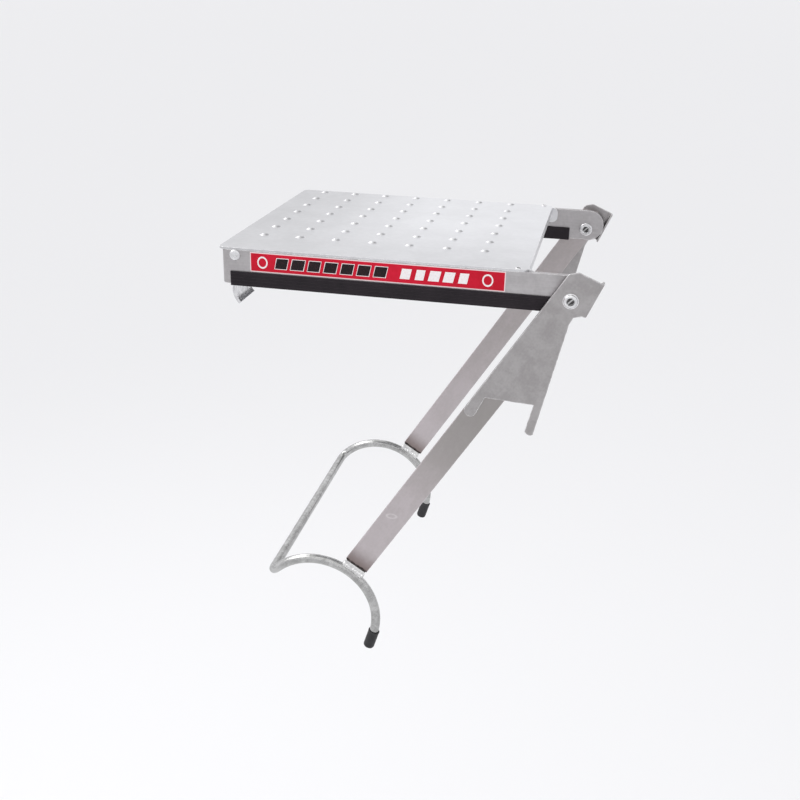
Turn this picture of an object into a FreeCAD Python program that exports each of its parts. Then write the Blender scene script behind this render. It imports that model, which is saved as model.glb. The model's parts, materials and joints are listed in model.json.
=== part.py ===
import FreeCAD, Part
import Sketcher
import math
import os

# A work platform that hooks on two rungs of a leaning ladder.  A dimpled sheet deck lies on two
# flat-bar rails.  Two hooks under its rear edge take the upper rung, and a brace that folds on
# two pivots at the front hooks a bent rod over the lower rung.
# World frame: origin on the upper rung's axis at mid width, +X away from the ladder, +Z up.
# Frame pieces are drawn from the deck's rear edge (x) and top face (z), brace pieces from the
# pivot with the bars along -x, as they lie when the brace is folded up beside the rails.

SIZES = {
    # deck and rungs
    "rung_diameter": 36.0,
    "rung_setback": 17.0,
    "deck_length": 289.0,
    "frame_width": 280.8,
    "deck_sheet": 2.0,
    "deck_corner": 6.0,
    "lip_depth": 9.0,
    "flange_gap": 5.2,
    "flange_rear": 11.0,
    "flange_ear": 6.5,
    "flange_ear_round": 6.0,
    # raised dimples, one square grid
    "dimple_pitch": 36.0,
    "dimple_count": 7,
    "dimple_diameter": 9.0,
    "dimple_rise": 1.6,
    "dimple_taper": 38.0,
    "dimple_rear": 27.0,
    "dimple_side": 55.8,
    # rails and rear bar, all cut from one flat bar section
    "rail_overhang": 58.0,
    "rail_depth": 32.5,
    "rail_thick": 4.8,
    "rail_rear": 2.5,
    "rail_bend": 8.0,
    "rail_return": 12.0,
    # cross stiffeners under the deck
    "stiffener_width": 24.0,
    "stiffener_depth": 15.0,
    "stiffener_wall": 2.0,
    "stiffener_rear": 85.0,
    "stiffener_front": 205.0,
    # hooks for the upper rung
    "hook_sheet": 3.2,
    "hook_width": 40.0,
    "hook_spread": 75.0,
    "hook_clearance": 0.3,
    "hook_mouth": 225.0,
    "hook_top": 5.0,
    # rubber trim on the rails' lower edges, and the labels above it
    "trim_wall": 1.5,
    "trim_height": 13.8,
    "trim_rear": 12.0,
    "trim_inset": 37.0,
    "label_rear": 31.5,
    "label_length": 237.8,
    "label_top": 3.0,
    "label_gap": 0.8,
    "label_film": 0.25,
    # rivets and deck screws
    "rivet_shank": 4.8,
    "rivet_head": 10.6,
    "rivet_crown": 5.0,
    "rivet_rise": 2.0,
    "rivet_tail": 7.6,
    "rivet_tail_rise": 1.2,
    "rivet_rear": 16.6,
    "rivet_drop": 7.0,
    "hook_rivet_drop": 15.0,
    "hook_rivet_gap": 20.0,
    "screw_head": 5.6,
    "screw_crown": 3.6,
    "screw_rise": 0.9,
    "screw_countersink": 45.0,
    "screw_shank": 2.6,
    "screw_length": 8.0,
    "screw_inset": 9.5,
    "screw_edge": 3.2,
    # pivots
    "pivot_inset": 19.0,
    "pivot_rise": 12.0,
    "pivot_shank": 9.5,
    "pivot_clearance": 0.05,
    "pivot_head": 14.0,
    "pivot_washer": 1.3,
    "pivot_dome": 2.2,
    "pivot_dome_base": 12.4,
    "pivot_dome_crown": 9.2,
    "pivot_socket": 7.0,
    "pivot_socket_depth": 2.6,
    "nut_thick": 4.4,
    "nut_bore": 1.8,
    "nut_socket_depth": 2.2,
    "bush_diameter": 17.0,
    "bush_thick": 2.8,
    "side_gap": 0.1,
    # brace bars
    "brace_angle": 57.7,
    "bar_width": 25.4,
    "bar_thick": 3.2,
    "bar_above": 15.6,
    "bar_past_deck": 26.0,
    "bar_nose": 15.0,
    # brace brackets: a head with a folded stop flange, and a forked wing
    "bracket_sheet": 2.0,
    "head_reach": 24.5,
    "head_shoulder": 6.2,
    "head_round": 4.0,
    "stop_lean": 9.0,
    "stop_rear": 8.0,
    "stop_front": 26.0,
    "stop_bend": 2.0,
    "stop_gap": 0.1,
    "stop_cover": 8.0,
    "relief_reach": 11.0,
    "relief_drop": 11.2,
    "wing_root": 18.3,
    "wing_drop": 12.0,
    "wing_lean": 19.8,
    "wing_reach": 123.5,
    "prong_reach": 146.0,
    "prong_width": 11.6,
    "prong_taper": 2.4,
    "fork_reach": 121.0,
    "fork_lean": 61.0,
    "fork_width": 8.8,
    "fork_round": 4.9,
    # hook rod, its end caps and its welds
    "rod_diameter": 9.5,
    "rod_hook_radius": 63.0,
    "hook_past_bar": 74.8,
    "rod_hook_rise": 5.35,
    "rod_hook_down": 74.0,
    "rod_hook_up": 74.0,
    "rod_bend": 9.5,
    "rod_tip": 16.0,
    "cap_wall": 0.85,
    "cap_cover": 20.0,
    "cap_end": 1.6,
    "cap_clearance": 0.2,
    "weld_width": 6.4,
    "weld_bite": 0.9,
    "weld_margin": 1.2,
}

SIDES = {"left": -1, "right": 1}
# How far a cutting tool runs past the face it cuts, in mm.
PAST_FACE = 1

doc = FreeCAD.newDocument("ladder_platform")
sheet = doc.addObject("Spreadsheet::Sheet", "dims")
for row, (alias, number) in enumerate(SIZES.items(), start=1):
    sheet.set(f"A{row}", alias)
    sheet.set(f"B{row}", str(number))
    sheet.setAlias(f"B{row}", alias)
doc.recompute()

nodes = []


def keep(piece, label):
    """Give a finished piece the name of its node."""
    piece.Label = label
    nodes.append(piece)
    return piece


def value(expression):
    """The number that an expression on the sheet's cells comes to."""
    result = sheet.evalExpression(str(expression))
    return float(getattr(result, "Value", result))


def size(alias):
    return float(getattr(sheet, alias))


# Expressions that several pieces share.
HALF = "dims.frame_width / 2"
RAIL_INNER = f"({HALF} - dims.rail_thick)"
FLANGE_INNER = f"({RAIL_INNER} - dims.deck_sheet)"
RAIL_BOTTOM = "(dims.deck_sheet + dims.rail_depth)"
RAIL_LENGTH = "(dims.deck_length + dims.rail_overhang)"
TRIM_TOP = f"(dims.trim_height - dims.trim_wall - {RAIL_BOTTOM})"
PIVOT_REACH = f"({RAIL_LENGTH} - dims.pivot_inset)"
PIVOT_DROP = f"({RAIL_BOTTOM} - dims.pivot_rise)"
BAR_REACH = f"({PIVOT_REACH} + dims.bar_past_deck)"
HOOK_REACH = f"({BAR_REACH} + dims.hook_past_bar)"
CAP_BORE = "(dims.rod_diameter / 2 + dims.cap_clearance)"
CAP_RADIUS = f"({CAP_BORE} + dims.cap_wall)"
BUSH_OUTER = f"({HALF} + dims.bush_thick)"
BAR_INNER = f"({BUSH_OUTER} + dims.side_gap)"
BAR_OUTER = f"({BAR_INNER} + dims.bar_thick)"
BRACKET_OUTER = f"({BAR_OUTER} + dims.bracket_sheet)"
BAR_MIDDLE = f"({BAR_INNER} + dims.bar_thick / 2)"
BAR_BELOW = "(dims.bar_width - dims.bar_above)"
PIVOT_HOLE = "(dims.pivot_shank / 2 + dims.pivot_clearance)"
SCREW_SINK = "((dims.screw_head - dims.screw_shank) / 2 / tan(dims.screw_countersink))"

# Where the frame pieces' own origin, the deck's top rear edge, lies in the world.
FRAME_X = "-dims.rung_setback"
FRAME_Z = f"dims.rung_diameter / 2 + dims.trim_wall + {RAIL_BOTTOM}"


def frame_placement():
    return FreeCAD.Placement(
        FreeCAD.Vector(value(FRAME_X), 0, value(FRAME_Z)), FreeCAD.Rotation())


def brace_placement():
    pivot = FreeCAD.Vector(value(f"{FRAME_X} + {PIVOT_REACH}"), 0,
                           value(f"{FRAME_Z} - {PIVOT_DROP}"))
    unfolded = FreeCAD.Rotation(FreeCAD.Vector(0, 1, 0), -size("brace_angle"))
    return FreeCAD.Placement(pivot, unfolded)


# ---- PartDesign helpers -------------------------------------------------------------------

def new_body(label, placement):
    body = doc.addObject("PartDesign::Body", label)
    body.Placement = placement
    return keep(body, label)


def new_sketch(body, name, role, offset="0"):
    """A sketch on one of the body's origin planes, moved along that plane's normal."""
    plane = next(f for f in body.Origin.OriginFeatures if f.Role == role)
    sketch = body.newObject("Sketcher::SketchObject", name)
    sketch.AttachmentSupport = (plane, "")
    sketch.MapMode = "FlatFace"
    sketch.setExpression("AttachmentOffset.Base.z", offset)
    return sketch


def pin_point(sketch, edge, end, place):
    """Tie one end of an edge to its two coordinates, each an expression."""
    for kind, expression in zip(("DistanceX", "DistanceY"), place):
        rule = Sketcher.Constraint(kind, -1, 1, edge, end, value(expression))
        number = sketch.addConstraint(rule)
        sketch.setExpression(f"Constraints[{number}]", str(expression))


def draw_outline(sketch, corners, arcs=None):
    """A closed outline through the corners.  arcs maps a corner's number to the radius and the
    turn (1 left, -1 right) of the arc that leaves it.  Other edges are straight."""
    arcs = arcs or {}
    places = [FreeCAD.Vector(value(x), value(y), 0) for x, y in corners]
    ends = []
    for number, start in enumerate(places):
        finish = places[(number + 1) % len(places)]
        if number not in arcs:
            edge = sketch.addGeometry(Part.LineSegment(start, finish))
            ends.append((edge, 1, 2))
            continue
        radius_rule, turn = arcs[number]
        radius = value(radius_rule)
        chord = finish - start
        rise = math.sqrt(radius ** 2 - (chord.Length / 2) ** 2)
        inward = FreeCAD.Vector(-chord.y, chord.x, 0).normalize() * (turn * rise)
        centre = (start + finish) / 2 + inward
        angles = [math.atan2(p.y - centre.y, p.x - centre.x) for p in (start, finish)]
        circle = Part.Circle(centre, FreeCAD.Vector(0, 0, 1), radius)
        first, last = angles if turn > 0 else angles[::-1]
        edge = sketch.addGeometry(Part.ArcOfCircle(circle, first, last))
        ends.append((edge, 1, 2) if turn > 0 else (edge, 2, 1))
        number = sketch.addConstraint(Sketcher.Constraint("Radius", edge, radius))
        sketch.setExpression(f"Constraints[{number}]", str(radius_rule))
    for number, (edge, start, finish) in enumerate(ends):
        after, after_start, _ = ends[(number + 1) % len(ends)]
        sketch.addConstraint(Sketcher.Constraint("Coincident", edge, finish, after, after_start))
        pin_point(sketch, edge, start, corners[number])


def draw_circle(sketch, x, y, radius):
    centre = FreeCAD.Vector(value(x), value(y), 0)
    edge = sketch.addGeometry(Part.Circle(centre, FreeCAD.Vector(0, 0, 1), value(radius)))
    pin_point(sketch, edge, 3, (x, y))
    number = sketch.addConstraint(Sketcher.Constraint("Radius", edge, value(radius)))
    sketch.setExpression(f"Constraints[{number}]", str(radius))


def pad(body, sketch, length, taper=None):
    feature = body.newObject("PartDesign::Pad", f"{sketch.Name}_pad")
    feature.Profile = sketch
    feature.setExpression("Length", str(length))
    if taper:
        feature.setExpression("TaperAngle", taper)
    sketch.Visibility = False
    return feature


def pad_up(body, name, corners, low, high, arcs=None):
    """Pad a plan outline from one height to another."""
    sketch = new_sketch(body, name, "XY_Plane", low)
    draw_outline(sketch, corners, arcs)
    return pad(body, sketch, f"({high}) - ({low})")


def pad_across(body, name, corners, low, high, arcs=None, holes=()):
    """Pad a side outline across the width, from y = low to y = high."""
    sketch = new_sketch(body, name, "XZ_Plane", f"-({high})")
    draw_outline(sketch, corners, arcs)
    for x, y, radius in holes:
        draw_circle(sketch, x, y, radius)
    return pad(body, sketch, f"({high}) - ({low})")


def span(side, inner, outer):
    """The lower and upper y of something between two distances from mid width."""
    return (inner, outer) if side > 0 else (f"-({outer})", f"-({inner})")


def rectangle(x_low, x_high, y_low, y_high):
    return [(x_low, y_low), (x_high, y_low), (x_high, y_high), (x_low, y_high)]


# ---- Part primitive helpers ---------------------------------------------------------------

def primitive(kind, name, placement, **rules):
    """A Part primitive whose sizes are expressions on the sheet."""
    piece = doc.addObject(kind, name)
    for prop, rule in rules.items():
        if isinstance(rule, str):
            piece.setExpression(prop, rule)
        else:
            setattr(piece, prop, rule)
    piece.Placement = placement
    return piece


def fuse(name, pieces):
    union = doc.addObject("Part::MultiFuse", name)
    union.Shapes = pieces
    return union


def cut(name, base, tool):
    result = doc.addObject("Part::Cut", name)
    result.Base = base
    result.Tool = tool
    return result


def compound(label, pieces):
    group = doc.addObject("Part::Compound", label)
    group.Links = pieces
    return keep(group, label)


def facing(direction, place):
    """A placement whose own +Z points along a direction."""
    turn = FreeCAD.Rotation(FreeCAD.Vector(0, 0, 1), FreeCAD.Vector(*direction))
    return FreeCAD.Placement(FreeCAD.Vector(*place), turn)


# ---- The frame ----------------------------------------------------------------------------

def deck_plate():
    """The dimpled sheet, with a front lip and a flange inside each rail."""
    body = new_body("deck_plate", frame_placement())
    corner = "dims.deck_corner"
    length = "dims.deck_length"
    outline = [
        (corner, f"-{HALF}"), (f"{length} - {corner}", f"-{HALF}"),
        (length, f"-{HALF} + {corner}"), (length, f"{HALF} - {corner}"),
        (f"{length} - {corner}", HALF), (corner, HALF),
        ("0", f"{HALF} - {corner}"), ("0", f"-{HALF} + {corner}"),
    ]
    rounded = {number: (corner, 1) for number in (1, 3, 5, 7)}
    pad_up(body, "deck_top", outline, "-dims.deck_sheet", "0", rounded)
    lip_half = f"({FLANGE_INNER} - dims.deck_sheet)"
    lip = rectangle(f"{length} - dims.deck_sheet", length, f"-{lip_half}", lip_half)
    pad_up(body, "deck_lip", lip, "-dims.lip_depth", "-dims.deck_sheet")
    front = f"({length} + dims.flange_ear)"
    top, bottom = "-dims.deck_sheet / 2", f"({TRIM_TOP} + dims.flange_gap)"
    # the ear's rounds leave a flat of one sheet's thickness between them
    ear = f"min(dims.flange_ear_round; ({top} - {bottom} - dims.deck_sheet) / 2)"
    flange = [
        ("dims.flange_rear", bottom), (f"{front} - {ear}", bottom),
        (front, f"{bottom} + {ear}"), (front, f"{top} - {ear}"),
        (f"{front} - {ear}", top), ("dims.flange_rear", top),
    ]
    for name, side in SIDES.items():
        low, high = span(side, FLANGE_INNER, RAIL_INNER)
        hole = ("dims.rivet_rear", "-dims.rivet_drop", "dims.rivet_shank / 2")
        pad_across(body, f"deck_flange_{name}", flange, low, high,
                   {1: (ear, 1), 3: (ear, 1)}, [hole])
    for stage, radius, depth, taper in (
            ("hole", "dims.screw_shank / 2", "dims.deck_sheet", "0"),
            ("countersink", "dims.screw_head / 2", SCREW_SINK, "-dims.screw_countersink")):
        doc.recompute()
        before = body.Shape.Volume
        circles = new_sketch(body, f"deck_{stage}s", "XY_Plane")
        for side in SIDES.values():
            draw_circle(circles, "dims.deck_length - dims.screw_inset",
                        f"{side} * ({HALF} - dims.screw_edge)", radius)
        pocket = body.newObject("PartDesign::Pocket", f"deck_{stage}_pocket")
        pocket.Profile = circles
        pocket.setExpression("Length", depth)
        pocket.setExpression("TaperAngle", taper)
        doc.recompute()
        if body.Shape.Volume >= before:
            raise RuntimeError(f"the deck's {stage}s cut nothing")
    dimple = new_sketch(body, "deck_dimple", "XY_Plane")
    draw_circle(dimple, "dims.dimple_rear", f"dims.dimple_side - {HALF}",
                "dims.dimple_diameter / 2")
    button = pad(body, dimple, "dims.dimple_rise", "-dims.dimple_taper")
    doc.recompute()
    grid = body.newObject("PartDesign::MultiTransform", "deck_dimples")
    grid.Originals = [button]
    rows = []
    for axis in ("H_Axis", "V_Axis"):
        row = body.newObject("PartDesign::LinearPattern", f"dimples_{axis}")
        row.Direction = (dimple, [axis])
        row.setExpression("Length", "dims.dimple_pitch * (dims.dimple_count - 1)")
        row.Occurrences = int(size("dimple_count"))
        rows.append(row)
    grid.Transformations = rows
    body.Tip = grid


def frame_rail(name, side):
    """A flat bar on edge: half-round at the pivot, bent round the rear corner."""
    body = new_body(f"frame_rail_{name}", frame_placement())
    bend, rear = "dims.rail_bend", "dims.rail_rear"
    start, end = f"({rear} + {bend})", RAIL_LENGTH
    top, bottom = "-dims.deck_sheet", f"-{RAIL_BOTTOM}"
    nose = "(dims.rail_depth / 2)"
    middle = f"(-dims.deck_sheet - {nose})"
    outline = [(start, bottom), (f"{end} - {nose}", bottom), (end, middle),
               (f"{end} - {nose}", top), (start, top)]
    holes = [(PIVOT_REACH, f"-{PIVOT_DROP}", PIVOT_HOLE),
             ("dims.rivet_rear", "-dims.rivet_drop", "dims.rivet_shank / 2")]
    low, high = span(side, RAIL_INNER, HALF)
    pad_across(body, f"rail_side_{name}", outline, low, high, {1: (nose, 1), 2: (nose, 1)}, holes)
    thick = "dims.rail_thick"
    outer, inner = f"{side} * {HALF}", f"{side} * {RAIL_INNER}"
    tangent = f"{side} * ({HALF} - {bend})"
    tail = f"{side} * ({HALF} - {bend} - dims.rail_return)"
    corner = [(start, outer), (rear, tangent), (rear, tail), (f"{rear} + {thick}", tail),
              (f"{rear} + {thick}", tangent), (start, inner)]
    turns = {0: (bend, side), 4: (f"{bend} - {thick}", -side)}
    pad_up(body, f"rail_corner_{name}", corner, bottom, top, turns)


def rear_cross_bar():
    """The flat bar that closes the frame between the two rails' returns."""
    half = f"({HALF} - dims.rail_bend - dims.rail_return)"
    body = new_body("rear_cross_bar", frame_placement())
    pad_up(body, "rear_bar", rectangle("dims.rail_rear", "dims.rail_rear + dims.rail_thick",
                                       f"-{half}", half),
           f"-{RAIL_BOTTOM}", "-dims.deck_sheet")
    for name, side in SIDES.items():
        holes = new_sketch(body, f"rear_bar_holes_{name}", "YZ_Plane")
        for step in (-1, 1):
            draw_circle(holes, f"{side} * dims.hook_spread + {step} * dims.hook_rivet_gap / 2",
                        "-dims.hook_rivet_drop", "dims.rivet_shank / 2")
        doc.recompute()
        before = body.Shape.Volume
        pocket = body.newObject("PartDesign::Pocket", f"rear_bar_pocket_{name}")
        pocket.Profile = holes
        pocket.Type = "ThroughAll"
        pocket.Reversed = True
        doc.recompute()
        if body.Shape.Volume >= before:
            raise RuntimeError("the rear bar's rivet holes cut nothing")


def cross_stiffener(name, place):
    """An open channel under the deck, from flange to flange."""
    body = new_body(f"cross_stiffener_{name}", frame_placement())
    half, wall = "dims.stiffener_width / 2", "dims.stiffener_wall"
    top = "-dims.deck_sheet"
    bottom = f"({top} - dims.stiffener_depth)"
    outline = [
        (f"{place} - {half}", bottom), (f"{place} - {half} + {wall}", bottom),
        (f"{place} - {half} + {wall}", f"{top} - {wall}"),
        (f"{place} + {half} - {wall}", f"{top} - {wall}"),
        (f"{place} + {half} - {wall}", bottom), (f"{place} + {half}", bottom),
        (f"{place} + {half}", top), (f"{place} - {half}", top),
    ]
    pad_across(body, f"stiffener_{name}", outline, f"-{FLANGE_INNER}", FLANGE_INNER)


def rung_hook(name, side):
    """A strap behind the rear bar that wraps the upper rung from its top to below its back."""
    body = new_body(f"rung_hook_{name}", frame_placement())
    inner = "(dims.rung_diameter / 2 + dims.hook_clearance)"
    outer = f"({inner} + dims.hook_sheet)"
    centre_z = f"(-({FRAME_Z}))"
    leg_rear = "(dims.rail_rear + dims.rail_thick)"
    leg_front = f"({leg_rear} + dims.hook_sheet)"
    across = "dims.rung_setback"
    mouth = "dims.hook_mouth"
    outline = [
        (leg_rear, "-dims.hook_top"),
        (leg_rear, f"{centre_z} + sqrt({outer}^2 - ({across} - {leg_rear})^2)"),
        (f"{across} + {outer} * cos({mouth})", f"{centre_z} + {outer} * sin({mouth})"),
        (f"{across} + {inner} * cos({mouth})", f"{centre_z} + {inner} * sin({mouth})"),
        (leg_front, f"{centre_z} + sqrt({inner}^2 - ({across} - {leg_front})^2)"),
        (leg_front, "-dims.hook_top"),
    ]
    low, high = span(side, "dims.hook_spread - dims.hook_width / 2",
                     "dims.hook_spread + dims.hook_width / 2")
    pad_across(body, f"hook_{name}", outline, low, high, {1: (outer, 1), 3: (inner, -1)})
    holes = new_sketch(body, f"hook_holes_{name}", "YZ_Plane")
    for step in (-1, 1):
        draw_circle(holes, f"{side} * dims.hook_spread + {step} * dims.hook_rivet_gap / 2",
                    "-dims.hook_rivet_drop", "dims.rivet_shank / 2")
    doc.recompute()
    before = body.Shape.Volume
    pocket = body.newObject("PartDesign::Pocket", f"hook_pocket_{name}")
    pocket.Profile = holes
    pocket.Type = "ThroughAll"
    pocket.Reversed = True
    doc.recompute()
    if body.Shape.Volume >= before:
        raise RuntimeError("the hook's rivet holes cut nothing")


def edge_trim(name, side):
    """A rubber channel pushed over a rail's lower edge."""
    body = new_body(f"edge_trim_{name}", frame_placement())
    wall = "dims.trim_wall"
    low, high = f"(-{RAIL_BOTTOM} - {wall})", TRIM_TOP
    outline = [
        (f"{side} * ({RAIL_INNER} - {wall})", low), (f"{side} * ({HALF} + {wall})", low),
        (f"{side} * ({HALF} + {wall})", high), (f"{side} * ({HALF})", high),
        (f"{side} * ({HALF})", f"-{RAIL_BOTTOM}"), (f"{side} * {RAIL_INNER}", f"-{RAIL_BOTTOM}"),
        (f"{side} * {RAIL_INNER}", high), (f"{side} * ({RAIL_INNER} - {wall})", high),
    ]
    sketch = new_sketch(body, f"trim_{name}", "YZ_Plane", "dims.trim_rear")
    draw_outline(sketch, outline)
    pad(body, sketch, f"{RAIL_LENGTH} - dims.trim_inset - dims.trim_rear")


def side_label(name, side):
    """The printed film on a rail's outer face."""
    body = new_body(f"side_label_{name}", frame_placement())
    outline = rectangle("dims.label_rear", "dims.label_rear + dims.label_length",
                        f"{TRIM_TOP} + dims.label_gap", "-dims.label_top")
    low, high = span(side, HALF, f"{HALF} + dims.label_film")
    pad_across(body, f"label_{name}", outline, low, high)


def rivet(name, direction, place, grip):
    """A rivet whose head stands at a place, facing a direction, with a tail past its grip."""
    at_head = frame_placement().multiply(facing(direction, place))
    reach = f"({grip} + dims.rivet_tail_rise)"
    back = FreeCAD.Placement(FreeCAD.Vector(0, 0, -value(reach)), FreeCAD.Rotation())
    shank = primitive("Part::Cylinder", f"{name}_shank", at_head.multiply(back),
                      Radius="dims.rivet_shank / 2", Height=reach)
    head = primitive("Part::Cone", f"{name}_head", at_head, Radius1="dims.rivet_head / 2",
                     Radius2="dims.rivet_crown / 2", Height="dims.rivet_rise")
    tail = primitive("Part::Cylinder", f"{name}_tail", at_head.multiply(back),
                     Radius="dims.rivet_tail / 2", Height="dims.rivet_tail_rise")
    return fuse(name, [shank, head, tail])


def frame_rivets():
    """One rivet at the rear of each rail, through the deck's flange."""
    rivets = []
    for name, side in SIDES.items():
        place = (size("rivet_rear"), side * value(HALF), -size("rivet_drop"))
        grip = "dims.rail_thick + dims.deck_sheet"
        rivets.append(rivet(f"rail_rivet_{name}", (0, side, 0), place, grip))
    compound("frame_rivets", rivets)


def hook_rivets():
    """Two rivets through the rear bar for each rung hook."""
    rivets = []
    for name, side in SIDES.items():
        for number, step in enumerate((-0.5, 0.5), start=1):
            across = side * size("hook_spread") + step * size("hook_rivet_gap")
            place = (size("rail_rear"), across, -size("hook_rivet_drop"))
            grip = "dims.rail_thick + dims.hook_sheet"
            rivets.append(rivet(f"hook_rivet_{name}_{number}", (-1, 0, 0), place, grip))
    compound("hook_rivets", rivets)


def deck_screws():
    """A raised countersunk screw at each front corner, through the deck into a rail's top."""
    screws = []
    for name, side in SIDES.items():
        place = (size("deck_length") - size("screw_inset"),
                 side * value(f"{HALF} - dims.screw_edge"), 0)
        top = frame_placement().multiply(facing((0, 0, 1), place))
        down = FreeCAD.Placement(FreeCAD.Vector(0, 0, -size("screw_length")), FreeCAD.Rotation())
        shank = primitive("Part::Cylinder", f"screw_shank_{name}", top.multiply(down),
                          Radius="dims.screw_shank / 2", Height="dims.screw_length")
        seat = FreeCAD.Placement(FreeCAD.Vector(0, 0, -value(SCREW_SINK)), FreeCAD.Rotation())
        cone = primitive("Part::Cone", f"screw_cone_{name}", top.multiply(seat),
                         Radius1="dims.screw_shank / 2", Radius2="dims.screw_head / 2",
                         Height=SCREW_SINK)
        crown = primitive("Part::Cone", f"screw_crown_{name}", top,
                          Radius1="dims.screw_head / 2", Radius2="dims.screw_crown / 2",
                          Height="dims.screw_rise")
        screws.append(fuse(f"deck_screw_{name}", [shank, cone, crown]))
    compound("deck_screws", screws)


# ---- The pivots ---------------------------------------------------------------------------

def pivot_point(side, distance):
    """A placement on the pivot axis at a distance from mid width, facing outward."""
    place = (value(PIVOT_REACH), side * value(distance), -value(PIVOT_DROP))
    return frame_placement().multiply(facing((0, side, 0), place))


def spacer_bush(name, side):
    """The washer that keeps a brace bar clear of the rail's trim and label."""
    at_rail = pivot_point(side, HALF)
    ring = primitive("Part::Cylinder", f"bush_ring_{name}", at_rail,
                     Radius="dims.bush_diameter / 2", Height="dims.bush_thick")
    hole = primitive("Part::Cylinder", f"bush_hole_{name}", at_rail,
                     Radius=PIVOT_HOLE, Height="dims.bush_thick")
    keep(cut(f"spacer_bush_{name}", ring, hole), f"spacer_bush_{name}")


def pivot_bolt(name, side):
    """A flanged socket bolt from outside, through bracket, bar, bush and rail."""
    seat = f"({BRACKET_OUTER} + dims.side_gap)"
    inner_end = f"({RAIL_INNER} - dims.nut_bore)"
    shank = primitive("Part::Cylinder", f"bolt_shank_{name}", pivot_point(side, inner_end),
                      Radius="dims.pivot_shank / 2", Height=f"{seat} - {inner_end}")
    washer = primitive("Part::Cylinder", f"bolt_washer_{name}", pivot_point(side, seat),
                       Radius="dims.pivot_head / 2", Height="dims.pivot_washer")
    crown = f"({seat} + dims.pivot_washer)"
    dome = primitive("Part::Cone", f"bolt_dome_{name}", pivot_point(side, crown),
                     Radius1="dims.pivot_dome_base / 2", Radius2="dims.pivot_dome_crown / 2",
                     Height="dims.pivot_dome")
    floor = f"({crown} + dims.pivot_dome - dims.pivot_socket_depth)"
    socket = primitive("Part::Prism", f"bolt_socket_{name}", pivot_point(side, floor),
                       Polygon=6, Circumradius="dims.pivot_socket / 2",
                       Height=f"dims.pivot_socket_depth + {PAST_FACE}")
    solid = fuse(f"bolt_solid_{name}", [shank, washer, dome])
    keep(cut(f"pivot_bolt_{name}", solid, socket), f"pivot_bolt_{name}")


def pivot_nut(name, side):
    """The round barrel nut on the rail's inner face."""
    under = f"({RAIL_INNER} - dims.nut_thick)"
    disc = primitive("Part::Cylinder", f"nut_disc_{name}", pivot_point(side, under),
                     Radius="dims.pivot_head / 2", Height="dims.nut_thick")
    bore = primitive("Part::Cylinder", f"nut_bore_{name}",
                     pivot_point(side, f"({RAIL_INNER} - dims.nut_bore)"),
                     Radius="dims.pivot_shank / 2", Height="dims.nut_bore")
    key = primitive("Part::Prism", f"nut_key_{name}",
                    pivot_point(side, f"({under} - {PAST_FACE})"),
                    Polygon=6, Circumradius="dims.pivot_socket / 2",
                    Height=f"dims.nut_socket_depth + {PAST_FACE}")
    keep(cut(f"pivot_nut_{name}", disc, fuse(f"nut_tools_{name}", [bore, key])),
         f"pivot_nut_{name}")


# ---- The brace ----------------------------------------------------------------------------

def strut_bar(name, side):
    """A flat bar from the pivot to the hook rod."""
    body = new_body(f"strut_bar_{name}", brace_placement())
    above, below, nose = "dims.bar_above", f"-{BAR_BELOW}", "dims.bar_nose"
    shoulder = "dims.head_shoulder"
    outline = [(f"-{BAR_REACH}", below), (nose, below), (f"{nose} + {shoulder}", "0"),
               (nose, above), (f"-{BAR_REACH}", above)]
    low, high = span(side, BAR_INNER, BAR_OUTER)
    pad_across(body, f"bar_{name}", outline, low, high, holes=[("0", "0", PIVOT_HOLE)])


def stop_point(along, away):
    """A point placed along the stop flange and away from the pivot towards it."""
    lean = "dims.stop_lean"
    return (f"({along}) * cos({lean}) + ({away}) * sin({lean})",
            f"({along}) * sin({lean}) - ({away}) * cos({lean})")


# How far the rail's half-round end stands from the pivot, towards the stop flange.
RAIL_NOSE = "(dims.rail_depth / 2)"
NOSE_X = f"(dims.pivot_inset - {RAIL_NOSE})"
NOSE_Z = f"({PIVOT_DROP} - dims.deck_sheet - {RAIL_NOSE})"
STOP_TURN = "(dims.brace_angle + dims.stop_lean - 90)"
STOP_FACE = (f"({RAIL_NOSE} + {NOSE_X} * cos({STOP_TURN}) + {NOSE_Z} * sin({STOP_TURN})"
             " + dims.stop_gap)")


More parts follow.
